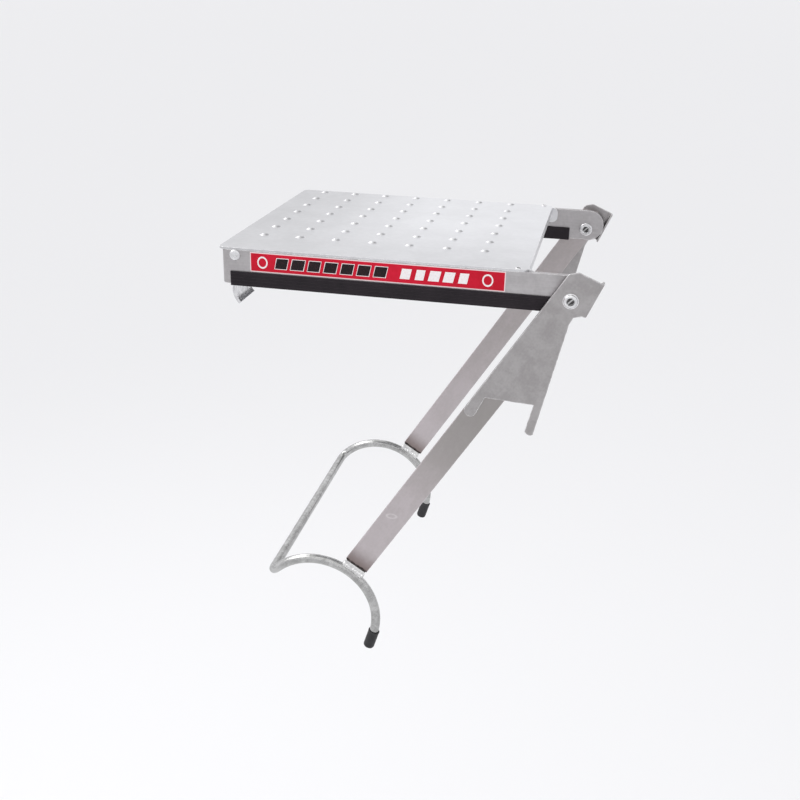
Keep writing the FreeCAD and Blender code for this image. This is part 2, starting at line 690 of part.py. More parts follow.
def strut_bracket(name, side):
    """The plate on a bar's outer face, with its stop flange and its forked wing."""
    body = new_body(f"strut_bracket_{name}", brace_placement())
    above, prong = "dims.bar_above", "dims.prong_reach"
    tip = "(dims.prong_width / 2)"
    prong_low = f"({above} - dims.prong_width)"
    wing, lean = "dims.wing_reach", "dims.wing_lean"
    wing_slope = f"tan({lean})"
    wing_low = f"(-dims.wing_drop - ({wing} - dims.wing_root) * {wing_slope})"
    fork = "dims.fork_width"
    fork_x, fork_z = f"({fork} * sin({lean}))", f"({fork} * cos({lean}))"
    root_z = f"({prong_low} + dims.prong_taper)"
    slope = "tan(dims.fork_lean)"
    # the head's upper corner is cut at 45 degrees, and the cut starts in a round
    corner = "(dims.head_reach - dims.head_shoulder)"
    tangent = "(dims.head_round * tan(22.5))"
    # the fork's cut edge runs down from the upper prong to the wing's inner side
    inner_z = f"(-dims.wing_drop - (dims.fork_reach - dims.wing_root) * {wing_slope} + {fork_z})"
    run = f"(({root_z} - {inner_z}) / ({slope} + {wing_slope}))"
    outline = [
        (f"-{prong} + {tip}", above), (f"-{prong}", f"{above} - {tip}"),
        (f"-{prong} + {tip}", prong_low), ("-dims.fork_reach", root_z),
        (f"-dims.fork_reach + {run}", f"{root_z} - {run} * {slope}"),
        (f"-{wing} - {fork_x} / 2", f"{wing_low} + {fork_z}"),
        (f"-{wing}", wing_low),
        ("-dims.wing_root", "-dims.wing_drop"),
        ("-dims.relief_reach", "-dims.relief_drop"),
        stop_point("-dims.stop_rear", f"{STOP_FACE} - dims.stop_bend"),
        stop_point("dims.stop_front", f"{STOP_FACE} - dims.stop_bend"),
        ("dims.head_reach", f"{above} - dims.head_shoulder"),
        (f"{corner} + {tangent} * cos(45)", f"{above} - {tangent} * sin(45)"),
        (f"{corner} - {tangent}", above),
    ]
    low, high = span(side, BAR_OUTER, BRACKET_OUTER)
    arcs = {0: (tip, 1), 1: (tip, 1), 5: ("dims.fork_round", 1), 12: ("dims.head_round", 1)}
    pad_across(body, f"bracket_{name}", outline, low, high, arcs, [("0", "0", PIVOT_HOLE)])
    section = new_sketch(body, f"stop_{name}", "YZ_Plane")
    start = [value(rule) for rule in stop_point("-dims.stop_rear", "0")]
    section.setExpression("AttachmentOffset.Base.z", None)
    section.AttachmentOffset = FreeCAD.Placement(
        FreeCAD.Vector(0, start[1], start[0]),
        FreeCAD.Rotation(FreeCAD.Vector(1, 0, 0), -size("stop_lean")))
    bend, thick = "dims.stop_bend", "dims.bracket_sheet"
    edge = f"{side} * ({BRACKET_OUTER} - dims.stop_cover - {bend})"
    corners = [
        (f"{side} * {BRACKET_OUTER}", f"-({STOP_FACE} - {bend})"),
        (f"{side} * ({BRACKET_OUTER} - {bend} - {thick})", f"-({STOP_FACE} + {thick})"),
        (edge, f"-({STOP_FACE} + {thick})"), (edge, f"-{STOP_FACE}"),
        (f"{side} * ({BAR_OUTER} - {bend})", f"-{STOP_FACE}"),
        (f"{side} * {BAR_OUTER}", f"-({STOP_FACE} - {bend})"),
    ]
    draw_outline(section, corners, {0: (f"{bend} + {thick}", -side), 4: (bend, side)})
    pad(body, section, "dims.stop_rear + dims.stop_front")


def rod_stations():
    """Key points of half the hook rod's centre line, in the brace's own x and z."""
    centre = FreeCAD.Vector(-value(HOOK_REACH), 0, size("rod_hook_rise"))
    radius = size("rod_hook_radius")

    def on_hook(angle):
        turn = math.radians(angle)
        return centre + FreeCAD.Vector(math.cos(turn), 0, math.sin(turn)) * radius

    down, up = -size("rod_hook_down"), size("rod_hook_up")
    low, apex, high = on_hook(down), on_hook((down + up) / 2), on_hook(up)
    down_turn, up_turn = math.radians(down), math.radians(up)
    tip_way = FreeCAD.Vector(math.sin(down_turn), 0, -math.cos(down_turn))
    bend_way = FreeCAD.Vector(-math.sin(up_turn), 0, math.cos(up_turn))
    return low, apex, high, tip_way, bend_way


def hook_rod():
    """One bent rod: tip, hook, bend, crossbar and the same back, swept along its centre line."""
    low, apex, high, tip_way, bend_way = rod_stations()
    across = value(BAR_MIDDLE)
    bend = size("rod_bend")
    corner_cut = bend * (1 - math.sqrt(0.5))

    def at(point, y):
        return FreeCAD.Vector(point.x, y, point.z)

    def half(y):
        inward = -math.copysign(1, y)
        tip = at(low + tip_way * size("rod_tip"), y)
        bend_end = at(high + bend_way * bend, y + inward * bend)
        bend_middle = at(high + bend_way * (bend - corner_cut), y + inward * corner_cut)
        return [Part.LineSegment(tip, at(low, y)),
                Part.Arc(at(low, y), at(apex, y), at(high, y)),
                Part.Arc(at(high, y), bend_middle, bend_end)], bend_end

    left_edges, left_end = half(-across)
    right_edges, right_end = half(across)
    cross = [Part.LineSegment(left_end, right_end)]
    edges = [edge.toShape() for edge in left_edges + cross + right_edges[::-1]]
    path = Part.Wire(Part.__sortEdges__(edges))
    start = at(low + tip_way * size("rod_tip"), -across)
    section = Part.Wire(Part.Circle(start, tip_way * -1, size("rod_diameter") / 2).toShape())
    shape = path.makePipeShell([section], True, True)
    expected = math.pi * (size("rod_diameter") / 2) ** 2 * path.Length
    print(f"hook rod: length {path.Length:.1f} mm, volume over section x length "
          f"{shape.Volume / expected:.4f}")
    rod = doc.addObject("Part::Feature", "hook_rod")
    rod.Shape = shape
    rod.Placement = brace_placement()
    keep(rod, "hook_rod")


def rod_cap(name, side):
    """The plastic cap on one tip of the rod."""
    low, _, _, tip_way, _ = rod_stations()
    tip = low + tip_way * size("rod_tip")
    tip.y = side * value(BAR_MIDDLE)
    mouth = tip - tip_way * size("cap_cover")
    along = brace_placement().multiply(facing(tuple(tip_way), tuple(mouth)))
    body = new_body(f"rod_cap_{name}", along)
    sketch = new_sketch(body, f"cap_{name}", "XY_Plane")
    draw_circle(sketch, "0", "0", CAP_RADIUS)
    pad(body, sketch, "dims.cap_cover + dims.cap_end")
    bore = new_sketch(body, f"cap_bore_{name}", "XY_Plane", "dims.cap_cover")
    draw_circle(bore, "0", "0", CAP_BORE)
    pocket = body.newObject("PartDesign::Pocket", f"cap_pocket_{name}")
    pocket.Profile = bore
    pocket.setExpression("Length", "dims.cap_cover")
    doc.recompute()
    solid = math.pi * value(CAP_RADIUS) ** 2 * value("dims.cap_cover + dims.cap_end")
    if body.Shape.Volume > solid / 2:
        raise RuntimeError("the cap's bore cut nothing")


def weld_bead(name, side):
    """The weld between a bar's square end and the rod's hook."""
    body = new_body(f"weld_bead_{name}", brace_placement())
    top = "(dims.bar_above - dims.weld_margin)"
    bottom = f"(-{BAR_BELOW} + dims.weld_margin)"
    reach = "(dims.rod_hook_radius + dims.rod_diameter / 2 - dims.weld_bite)"
    rise = "dims.rod_hook_rise"

    def on_rod(height):
        return f"-{HOOK_REACH} + sqrt({reach}^2 - ({height} - {rise})^2)"

    outline = [(f"-{BAR_REACH}", bottom), (f"-{BAR_REACH}", top),
               (on_rod(top), top), (on_rod(bottom), bottom)]
    middle = f"({BAR_MIDDLE})"
    low, high = span(side, f"{middle} - dims.weld_width / 2", f"{middle} + dims.weld_width / 2")
    pad_across(body, f"weld_{name}", outline, low, high, {2: (reach, -1)})


deck_plate()
rear_cross_bar()
cross_stiffener("rear", "dims.stiffener_rear")
cross_stiffener("front", "dims.stiffener_front")
for side_name, side_sign in SIDES.items():
    frame_rail(side_name, side_sign)
    rung_hook(side_name, side_sign)
    edge_trim(side_name, side_sign)
    side_label(side_name, side_sign)
    spacer_bush(side_name, side_sign)
    pivot_bolt(side_name, side_sign)
    pivot_nut(side_name, side_sign)
    strut_bar(side_name, side_sign)
    strut_bracket(side_name, side_sign)
    rod_cap(side_name, side_sign)
    weld_bead(side_name, side_sign)
frame_rivets()
hook_rivets()
deck_screws()
hook_rod()
doc.recompute()

for item in doc.Objects:
    if "Invalid" in item.State or "Error" in item.State:
        raise RuntimeError(f"{item.Label} failed: {item.State}")
os.makedirs("parts", exist_ok=True)
for node in nodes:
    if node.Shape.isNull() or not node.Shape.isValid():
        raise RuntimeError(f"{node.Label} has no valid shape")
    node.Shape.exportStep(f"parts/{node.Label}.step")
    box = node.Shape.BoundBox
    print(f"{node.Label:22s} solids {len(node.Shape.Solids)} volume {node.Shape.Volume:10.1f}  "
          f"x {box.XMin:7.1f} {box.XMax:7.1f}  y {box.YMin:7.1f} {box.YMax:7.1f}  "
          f"z {box.ZMin:7.1f} {box.ZMax:7.1f}")
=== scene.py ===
# %% [markdown]
# # A work platform that clips on a ladder
# The shapes that carry load come from CAD as a fixed frame, in metres: x points away from the
# ladder, y runs across its width and z points up. This script gives them their looks: rounded
# edges, the deck's dimples, rivets, ribs, print and welds, and the metals, rubber and film they
# are made of. Each step below first says what the piece is and why it is made that way.

# %% Load the frame
import json
import math

import bmesh
import bpy
from mathutils import Matrix, Vector


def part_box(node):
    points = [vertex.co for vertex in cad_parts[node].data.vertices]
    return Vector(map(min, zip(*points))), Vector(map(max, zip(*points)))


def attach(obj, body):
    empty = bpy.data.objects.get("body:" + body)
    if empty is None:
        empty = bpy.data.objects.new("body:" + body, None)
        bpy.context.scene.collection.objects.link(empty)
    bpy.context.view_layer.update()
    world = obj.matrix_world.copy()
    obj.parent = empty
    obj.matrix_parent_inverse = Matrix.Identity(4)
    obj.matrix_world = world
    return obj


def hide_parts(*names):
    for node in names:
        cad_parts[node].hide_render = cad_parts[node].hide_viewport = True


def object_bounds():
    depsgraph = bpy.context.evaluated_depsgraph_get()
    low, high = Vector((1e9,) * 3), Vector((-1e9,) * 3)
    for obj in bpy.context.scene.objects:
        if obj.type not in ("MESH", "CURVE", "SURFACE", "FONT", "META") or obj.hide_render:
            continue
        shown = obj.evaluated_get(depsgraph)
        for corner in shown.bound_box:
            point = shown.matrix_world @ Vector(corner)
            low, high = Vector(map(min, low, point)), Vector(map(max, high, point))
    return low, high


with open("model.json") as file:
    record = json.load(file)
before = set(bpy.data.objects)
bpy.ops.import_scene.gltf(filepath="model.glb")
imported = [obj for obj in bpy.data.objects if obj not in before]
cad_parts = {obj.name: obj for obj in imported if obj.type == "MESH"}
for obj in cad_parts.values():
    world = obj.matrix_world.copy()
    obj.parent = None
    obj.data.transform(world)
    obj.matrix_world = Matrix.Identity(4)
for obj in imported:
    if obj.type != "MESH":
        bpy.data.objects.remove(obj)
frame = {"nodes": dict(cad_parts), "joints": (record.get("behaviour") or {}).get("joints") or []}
cad_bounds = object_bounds()
MM = 0.001
SIDES = {"left": -1, "right": 1}


def added(name, data):
    """A new object in the scene that holds this mesh, lamp or camera."""
    made = bpy.data.objects.new(name, data)
    bpy.context.scene.collection.objects.link(made)
    return made


# %% [markdown]
# ## Camera
# The camera stands in front and to the left of the deck's front edge and looks down on it. Its
# three axes come from two angles and a small roll, so they are easy to read and change. An angle
# of 0 looks along +y.

# %% Camera
CAMERA_PLACE = Vector((0.3410, -1.0345, 0.2971))
CAMERA_AZIMUTH, CAMERA_ELEVATION, CAMERA_ROLL = (math.radians(a) for a in (11.474, 22.542, 1.4))
CAMERA_LENS = 46.889


def camera_axes():
    flat = math.cos(CAMERA_ELEVATION)
    back = Vector((math.sin(CAMERA_AZIMUTH) * flat, -math.cos(CAMERA_AZIMUTH) * flat,
                   math.sin(CAMERA_ELEVATION)))
    level = Vector((0, 0, 1)).cross(back).normalized()
    right = Matrix.Rotation(CAMERA_ROLL, 3, back) @ level
    return right, back.cross(right), back


camera = added("camera", bpy.data.cameras.new("camera"))
camera.data.lens = CAMERA_LENS
camera.matrix_world = Matrix.Translation(CAMERA_PLACE) @ Matrix(camera_axes()).transposed().to_4x4()
bpy.context.scene.camera = camera
print("camera at", tuple(round(v, 3) for v in camera.location))

# %% [markdown]
# ## Studio
# The platform hangs on a ladder, so its floor is well below it. The floor is pale and plain, and
# the world is a soft white dome that is brightest overhead. Two soft lights stand on the left,
# and one patch of the dome on the right is darker, so that each dimple has a bright side and a
# dark side.

# %% Studio
FLOOR_DROP = 0.95
FLOOR_SPAN = 900.0
# The dome's colour from straight below, 0, to straight above, 1.
DOME_TONES = [(0.0, (0.55, 0.55, 0.56)), (0.5, (0.80, 0.80, 0.82)), (0.72, (0.95, 0.95, 0.97)),
              (1.0, (1.0, 1.0, 1.0))]
DOME_STRENGTH = 1.14
# The dome's darker patch: the way to its middle, the cosines of the angles from it where the
# patch starts and where it is darkest, and how much of the dome's light is left there.
DARK_SIDE, DARK_START, DARK_FULL, DARK_SHARE = Vector((0.45, 0.38, 0.80)), 0.74, 0.97, 0.35
LAMPS_AIM_AT = Vector((0.15, 0, 0))
SOFTBOXES = [
    # name, place, width and height in metres, power in watts
    ("key_softbox", (-1.3, -0.5, 1.3), 1.0, 9),
    ("rear_softbox", (-1.1, 0.75, 1.1), 0.8, 7),
]


def node(tree, kind, inputs=None, **settings):
    """Add a node. inputs maps a socket's name or number to a value or to an output to link."""
    made = tree.nodes.new(kind)
    for key, setting in settings.items():
        setattr(made, key, setting)
    for key, given in (inputs or {}).items():
        if isinstance(given, bpy.types.NodeSocket):
            tree.links.new(given, made.inputs[key])
        else:
            made.inputs[key].default_value = given
    return made


def ramp(tree, factor, stops):
    """A colour ramp node through (position, colour) stops."""
    made = node(tree, "ShaderNodeValToRGB", {"Fac": factor})
    elements = made.color_ramp.elements
    while len(elements) < len(stops):
        elements.new(0.5)
    for element, (position, colour) in zip(elements, stops):
        element.position = position
        element.color = (*colour, 1)
    return made


def new_material(name):
    """A material with its Principled shader, ready for its inputs to be fed."""
    material = bpy.data.materials.new(name)
    material.use_nodes = True
    return material, material.node_tree, material.node_tree.nodes["Principled BSDF"]


def object_place(tree):
    """The point's place on the piece, which stays with it when it moves."""
    return node(tree, "ShaderNodeTexCoord").outputs["Object"]


def build_world():
    world = bpy.data.worlds.new("studio")
    world.use_nodes = True
    tree = world.node_tree
    way = node(tree, "ShaderNodeTexCoord").outputs["Generated"]
    split = node(tree, "ShaderNodeSeparateXYZ", {0: way})
    height = node(tree, "ShaderNodeMapRange", {0: split.outputs["Z"], 1: -1.0, 2: 1.0})
    sky = ramp(tree, height.outputs[0], DOME_TONES)
    towards = node(tree, "ShaderNodeVectorMath", {0: way, 1: DARK_SIDE.normalized()},
                   operation="DOT_PRODUCT").outputs["Value"]
    dark = node(tree, "ShaderNodeMapRange", {
        0: towards, 1: DARK_START, 2: DARK_FULL, 3: 1.0, 4: DARK_SHARE},
        interpolation_type="SMOOTHSTEP")
    shaded = node(tree, "ShaderNodeVectorMath", {0: sky.outputs[0], "Scale": dark.outputs[0]},
                  operation="SCALE")
    background = tree.nodes["Background"]
    tree.links.new(shaded.outputs[0], background.inputs["Color"])
    background.inputs["Strength"].default_value = DOME_STRENGTH
    bpy.context.scene.world = world


def build_floor():
    bm = bmesh.new()
    bmesh.ops.create_grid(bm, x_segments=1, y_segments=1, size=FLOOR_SPAN / 2)
    bmesh.ops.translate(bm, verts=bm.verts, vec=(0, 0, cad_bounds[0].z - FLOOR_DROP))
    mesh = bpy.data.meshes.new("floor")
    bm.to_mesh(mesh)
    bm.free()
    floor = added("floor", mesh)
    material, tree, shader = new_material("studio_floor")
    place = object_place(tree)
    soft = node(tree, "ShaderNodeTexNoise", {"Vector": place, "Scale": 0.02, "Detail": 0.0})
    tint = ramp(tree, soft.outputs["Fac"], [(0.3, (0.89, 0.89, 0.90)), (0.7, (0.9, 0.9, 0.91))])
    tree.links.new(tint.outputs[0], shader.inputs["Base Color"])
    shader.inputs["Roughness"].default_value = 0.9
    mesh.materials.append(material)


def soft_light(name, place, width, power):
    lamp = bpy.data.lights.new(name, "AREA")
    lamp.shape = "RECTANGLE"
    lamp.size = lamp.size_y = width
    lamp.energy = power
    made = added(name, lamp)
    made.location = place
    made.rotation_euler = (Vector(place) - LAMPS_AIM_AT).to_track_quat("Z", "Y").to_euler()


build_world()
build_floor()
for softbox in SOFTBOXES:
    soft_light(*softbox)
bpy.context.scene.view_settings.view_transform = "Standard"
print("floor at", round(cad_bounds[0].z - FLOOR_DROP, 3))

# %% [markdown]
# ## Shared effects
# Several metals show the same things: fine lines left by rolling, a soft mottle where zinc or
# handling has dulled them, and bright edges, partly worn and partly a painted highlight where
# edges catch the light. Each is one node group with named inputs, built once and placed in every
# material that shows it with its own values.

# %% Shared effects
COARSE_LINES = 0.17  # of the fine ones, in number
SPECKS_PER_PATCH = 9.0
EDGE_BREAKS_PER_METRE = 260.0


def effect(name, inputs, outputs):
    """An empty shader group with its sockets, and the nodes that hold them."""
    group = bpy.data.node_groups.new(name, "ShaderNodeTree")
    for label, kind, given in inputs:
        socket = group.interface.new_socket(label, in_out="INPUT", socket_type=kind)
        if given is not None:
            socket.default_value = given
    for label, kind in outputs:
        group.interface.new_socket(label, in_out="OUTPUT", socket_type=kind)
    return group, node(group, "NodeGroupInput").outputs, node(group, "NodeGroupOutput").inputs


def math_node(tree, operation, first, second=0.0):
    return node(tree, "ShaderNodeMath", {0: first, 1: second}, operation=operation).outputs[0]


def shared(tree, first, second, share):
    """That share of the first value, and the rest of the second."""
    return math_node(tree, "ADD", math_node(tree, "MULTIPLY", first, share),
                     math_node(tree, "MULTIPLY", second, 1.0 - share))


def distance(tree, across, up):
    """How far a point is from a middle, by how far it is across and up from it."""
    return math_node(tree, "SQRT", math_node(tree, "ADD",
                                             math_node(tree, "MULTIPLY", across, across),
                                             math_node(tree, "MULTIPLY", up, up)))


def remap(tree, factor, low, high, to_low=0.0, to_high=1.0):
    return node(tree, "ShaderNodeMapRange", {0: factor, 1: low, 2: high, 3: to_low, 4: to_high},
                interpolation_type="SMOOTHSTEP").outputs[0]


def build_rolled_lines():
    """Fine lines along x in the vector that is given, as a value from 0 to 1."""
    group, given, result = effect(
        "rolled_lines",
        [("Vector", "NodeSocketVector", None), ("Lines per metre", "NodeSocketFloat", 1500.0),
         ("Length", "NodeSocketFloat", 0.03)],
        [("Lines", "NodeSocketFloat")])
    stretch = node(group, "ShaderNodeCombineXYZ", {0: given["Length"], 1: 1.0, 2: 1.0})
    drawn = node(group, "ShaderNodeVectorMath", {0: given["Vector"], 1: stretch.outputs[0]},
                 operation="MULTIPLY")
    fine = node(group, "ShaderNodeTexNoise", {"Vector": drawn.outputs[0],
                                              "Scale": given["Lines per metre"], "Detail": 3.0})
    coarse_scale = math_node(group, "MULTIPLY", given["Lines per metre"], COARSE_LINES)
    coarse = node(group, "ShaderNodeTexNoise", {"Vector": drawn.outputs[0], "Scale": coarse_scale,
                                                "Detail": 2.0})
    both = shared(group, fine.outputs["Fac"], coarse.outputs["Fac"], 0.6)
    group.links.new(remap(group, both, 0.35, 0.65), result["Lines"])
    return group


def build_mottle():
    """Soft patches of two sizes, as a value from 0 to 1."""
    group, given, result = effect(
        "dulled_patches",
        [("Vector", "NodeSocketVector", None), ("Patches per metre", "NodeSocketFloat", 40.0)],
        [("Patches", "NodeSocketFloat")])
    large = node(group, "ShaderNodeTexNoise", {
        "Vector": given["Vector"], "Scale": given["Patches per metre"], "Detail": 4.0,
        "Roughness": 0.6, "Distortion": 0.4})
    small_scale = math_node(group, "MULTIPLY", given["Patches per metre"], SPECKS_PER_PATCH)
    small = node(group, "ShaderNodeTexVoronoi", {"Vector": given["Vector"], "Scale": small_scale},
                 feature="SMOOTH_F1")
    both = shared(group, large.outputs["Fac"], small.outputs["Distance"], 0.8)
    group.links.new(remap(group, both, 0.3, 0.7), result["Patches"])
    return group


def build_worn_and_highlit_edges():
    """1 on the piece's edges and 0 on its faces, broken up so that it isn't a drawn line. Metals
    paint these edges lighter, partly as wear and partly as painted highlight.
    """
    group, given, result = effect(
        "worn_and_highlit_edges",
        [("Vector", "NodeSocketVector", None), ("Width", "NodeSocketFloat", 0.0008)],
        [("Mask", "NodeSocketFloat")])
    true_normal = node(group, "ShaderNodeNewGeometry").outputs["True Normal"]
    rounded = node(group, "ShaderNodeBevel", {"Radius": given["Width"]}, samples=4)
    same = node(group, "ShaderNodeVectorMath", {0: rounded.outputs[0], 1: true_normal},
                operation="DOT_PRODUCT").outputs["Value"]
    turned = math_node(group, "SUBTRACT", 1.0, same)
    broken = node(group, "ShaderNodeTexNoise", {
        "Vector": given["Vector"], "Scale": EDGE_BREAKS_PER_METRE, "Detail": 3.0})
    chance = remap(group, broken.outputs["Fac"], 0.35, 0.6, 0.25, 1.0)
    edge = remap(group, turned, 0.01, 0.10)
    group.links.new(math_node(group, "MULTIPLY", edge, chance), result["Mask"])
    return group


rolled_lines, dulled_patches, worn_and_highlit_edges = build_rolled_lines(), build_mottle(), build_worn_and_highlit_edges()
print("effects:", rolled_lines.name, dulled_patches.name, worn_and_highlit_edges.name)

# %% [markdown]
# ## Metals
# The rails, bars and brackets are bare aluminium from the mill: warm grey, with lines along each
# length. The deck's sheet is painted brighter, and the sides of the rails, bars and brackets
# darker,
# as painted light and shade: the deck's top faces the light from above and their sides face away.
# The rod, rivets and bolts are zinc-plated steel. One function makes them all, because they differ
# only in colour, in how rough they are and in how much of each effect shows. The lines follow the
# piece, so the brace's metals turn the pattern to the brace's own slope.

# %% Metals
PIVOT = Vector(frame["joints"][0]["pos_m"])
BRACE_SLOPE = math.radians(57.7)
EDGE_GAIN = 1.5
EDGE_POLISH = 0.08


def effect_node(tree, group, **inputs):
    made = node(tree, "ShaderNodeGroup", node_tree=group)
    for label, given in inputs.items():
        label = label.replace("_", " ")
        if isinstance(given, bpy.types.NodeSocket):
            tree.links.new(given, made.inputs[label])
        else:
            made.inputs[label].default_value = given
    return made.outputs[0]


def mix(tree, factor, first, second):
    made = node(tree, "ShaderNodeMix", data_type="RGBA")
    for socket, given in zip((made.inputs[0], made.inputs[6], made.inputs[7]),
                             (factor, first, second)):
        if isinstance(given, bpy.types.NodeSocket):
            tree.links.new(given, socket)
        else:
            socket.default_value = given if isinstance(given, float) else (*given, 1)
    return made.outputs[2]


def along_piece(tree, slope):
    """Object coordinates turned about the pivot, so that x runs along a piece of that slope."""
    place = object_place(tree)
    moved = -(Matrix.Rotation(slope, 3, "Y") @ PIVOT) if slope else Vector()
    return place, node(tree, "ShaderNodeMapping", {"Vector": place, "Rotation": (0, slope, 0),
                                                   "Location": moved},
                       vector_type="POINT").outputs[0]


def metal(name, dark, light, rough, slope=0.0, lines=1500.0, line_share=0.5, patches=40.0,
          edge_light=None, edge_width=0.0008, bump=0.00001, shade=None, marks=None):
    """A bare metal. shade adds a broad light-to-dark change, marks paints over the colour.

    rough is the roughness of its lightest and of its darkest parts.
    """
    material, tree, shader = new_material(name)
    place, turned_place = along_piece(tree, slope)
    line = effect_node(tree, rolled_lines, Vector=turned_place, Lines_per_metre=lines)
    patch = effect_node(tree, dulled_patches, Vector=place, Patches_per_metre=patches)
    edge = effect_node(tree, worn_and_highlit_edges, Vector=place, Width=edge_width)
    tone = shared(tree, line, patch, line_share)
    if shade:
        tone = shade(tree, place, tone)
    colour = mix(tree, tone, dark, light)
    if marks:
        colour = marks(tree, turned_place, colour)
    # The edges are painted lighter: partly wear, partly painted highlight where edges catch the
    # light.
    worn = mix(tree, edge, colour, edge_light or tuple(min(1.0, EDGE_GAIN * c) for c in light))
    tree.links.new(worn, shader.inputs["Base Color"])
    dull = remap(tree, tone, 0.0, 1.0, rough[1], rough[0])
    smoother = math_node(tree, "SUBTRACT", dull, math_node(tree, "MULTIPLY", edge, EDGE_POLISH))
    tree.links.new(smoother, shader.inputs["Roughness"])
    raised = node(tree, "ShaderNodeBump", {"Height": line, "Distance": bump, "Strength": 0.6})
    tree.links.new(raised.outputs[0], shader.inputs["Normal"])
    shader.inputs["Metallic"].default_value = 1.0
    return material


def part_of(tree, vector, axis):
    return node(tree, "ShaderNodeSeparateXYZ", {0: vector}).outputs[axis]


# Where the deck's painted shade goes from dim to bright, from its rear and from its left side, how
# bright the left side starts, and how much of the sheet's own mottle still shows.
DECK_REAR, DECK_SIDE, DECK_SIDE_DIM, DECK_GRAIN = (-0.03, 0.17), (-0.16, 0.02), 0.55, 0.2
# Places along a bar: where its painted shade, darkest near the bracket, starts and ends its change,
# and where its outer face is painted darker below the bracket's fork, as painted shade of the fork.
BAR_SHADE_START, BAR_SHADE_END = -0.13, -0.32
BELOW_BRACKET, BELOW_BRACKET_COLOUR = (-0.26, -0.15), (0.33, 0.315, 0.305)
# How far the heat tint and the scorch reach from the bar's end, and how much they waver.
HEAT_REACH, HEAT_COLOUR = (0.003, 0.027), (0.20, 0.155, 0.145)
SCORCH_REACH, SCORCH_COLOUR = (0.0026, 0.0048), (0.03, 0.024, 0.022)
WAVER = 0.004
# An oval inspector's stamp on the left bar: its place along and across the bar, and half its size.
STAMP_ALONG, STAMP_ACROSS, STAMP_HALF = -0.2824, 0.006, (0.0048, 0.0023)
STAMP_COLOUR = (0.80, 0.77, 0.77)
# The painted shade and painted glint in the sockets of the pivot bolts and nuts, and the painted
# shade in the deck screws' recesses with their places.
SOCKET, SOCKET_SHADE, SOCKET_GLINT = 0.0036, (0.03, 0.028, 0.028), (0.7, 0.7, 0.7)
RECESS, RECESS_SHADE = 0.0015, (0.03, 0.03, 0.03)
SCREW_ALONG, SCREW_ACROSS = 262.5 * MM, 137.2 * MM


def deck_painted_ladder_shade(tree, place, tone):
    """Paints the ladder's shade on the deck: painted shade, dimmer at its rear and left corner."""
    rear = remap(tree, part_of(tree, place, "X"), *DECK_REAR)
    side = remap(tree, part_of(tree, place, "Y"), *DECK_SIDE, DECK_SIDE_DIM, 1.0)
    broad_shade = math_node(tree, "MULTIPLY", rear, side)
    return shared(tree, tone, broad_shade, DECK_GRAIN)


def bar_painted_shade_near_bracket(tree, place, tone):
    """Paints shade on a bar, darker at its top near the bracket than near its weld."""
    along_x, along_z = math.cos(BRACE_SLOPE), math.sin(BRACE_SLOPE)
    down = math_node(tree, "ADD",
                     math_node(tree, "MULTIPLY", part_of(tree, place, "X"), along_x),
                     math_node(tree, "MULTIPLY", part_of(tree, place, "Z"), along_z))
    start = PIVOT.x * along_x + PIVOT.z * along_z
    broad_shade = remap(tree, down, start + BAR_SHADE_END, start + BAR_SHADE_START, 1.0, 0.0)
    return shared(tree, tone, broad_shade, 0.5)


def darker_below_bracket(tree, place, along, colour):
    """Paints the fork's shadow on the bar's outer face below the bracket's fork: painted shade."""
    outer = math_node(tree, "ABSOLUTE", part_of(tree, place, "Y"))
    outer = remap(tree, outer, -BAR_FACE - 0.0004, -BAR_FACE)
    below = math_node(tree, "MULTIPLY", outer, remap(tree, along, *BELOW_BRACKET, 0.0, 0.8))
    return mix(tree, below, colour, BELOW_BRACKET_COLOUR)


def heat_tint(tree, place, along, colour):
    """Paints a wavering brown tint beside the weld at the bar's end, and a scorch line in it."""
    smoke = node(tree, "ShaderNodeTexNoise", {"Vector": place, "Scale": 240.0, "Detail": 3.0})
    waver = math_node(tree, "MULTIPLY", smoke.outputs["Fac"], WAVER)
    from_end = math_node(tree, "ADD", math_node(tree, "SUBTRACT", along, BAR_END), waver)
    heat = remap(tree, from_end, *HEAT_REACH, 0.85, 0.0)
    tinted = mix(tree, heat, colour, HEAT_COLOUR)
    scorch = remap(tree, from_end, *SCORCH_REACH, 1.0, 0.0)
    return mix(tree, scorch, tinted, SCORCH_COLOUR)


def stamp(tree, place, colour):
    """Paints a faint level oval ring on the left bar's outer face."""
    middle = node(tree, "ShaderNodeCombineXYZ", {0: STAMP_ALONG, 1: 0.0, 2: STAMP_ACROSS})
    moved = node(tree, "ShaderNodeVectorMath", {0: place, 1: middle.outputs[0]},
                 operation="SUBTRACT")
    level = node(tree, "ShaderNodeMapping", {"Vector": moved.outputs[0],
                                             "Rotation": (0, -BRACE_SLOPE, 0)},
                 vector_type="POINT").outputs[0]
    across = math_node(tree, "DIVIDE", part_of(tree, level, "X"), STAMP_HALF[0])
    up = math_node(tree, "DIVIDE", part_of(tree, level, "Z"), STAMP_HALF[1])
    off_ring = math_node(tree, "ABSOLUTE",
                         math_node(tree, "SUBTRACT", distance(tree, across, up), 1.0))
    ring = remap(tree, off_ring, 0.1, 0.4, 0.35, 0.0)
    left_side = remap(tree, part_of(tree, place, "Y"), BAR_FACE, BAR_FACE + 0.0003, 1.0, 0.0)
    return mix(tree, math_node(tree, "MULTIPLY", ring, left_side), colour, STAMP_COLOUR)


def bar_marks(tree, place, colour):
    """All that is painted over a bar's colour, from the bracket down to the weld."""
    along = part_of(tree, place, "X")
    colour = darker_below_bracket(tree, place, along, colour)
    colour = heat_tint(tree, place, along, colour)
    return stamp(tree, place, colour)


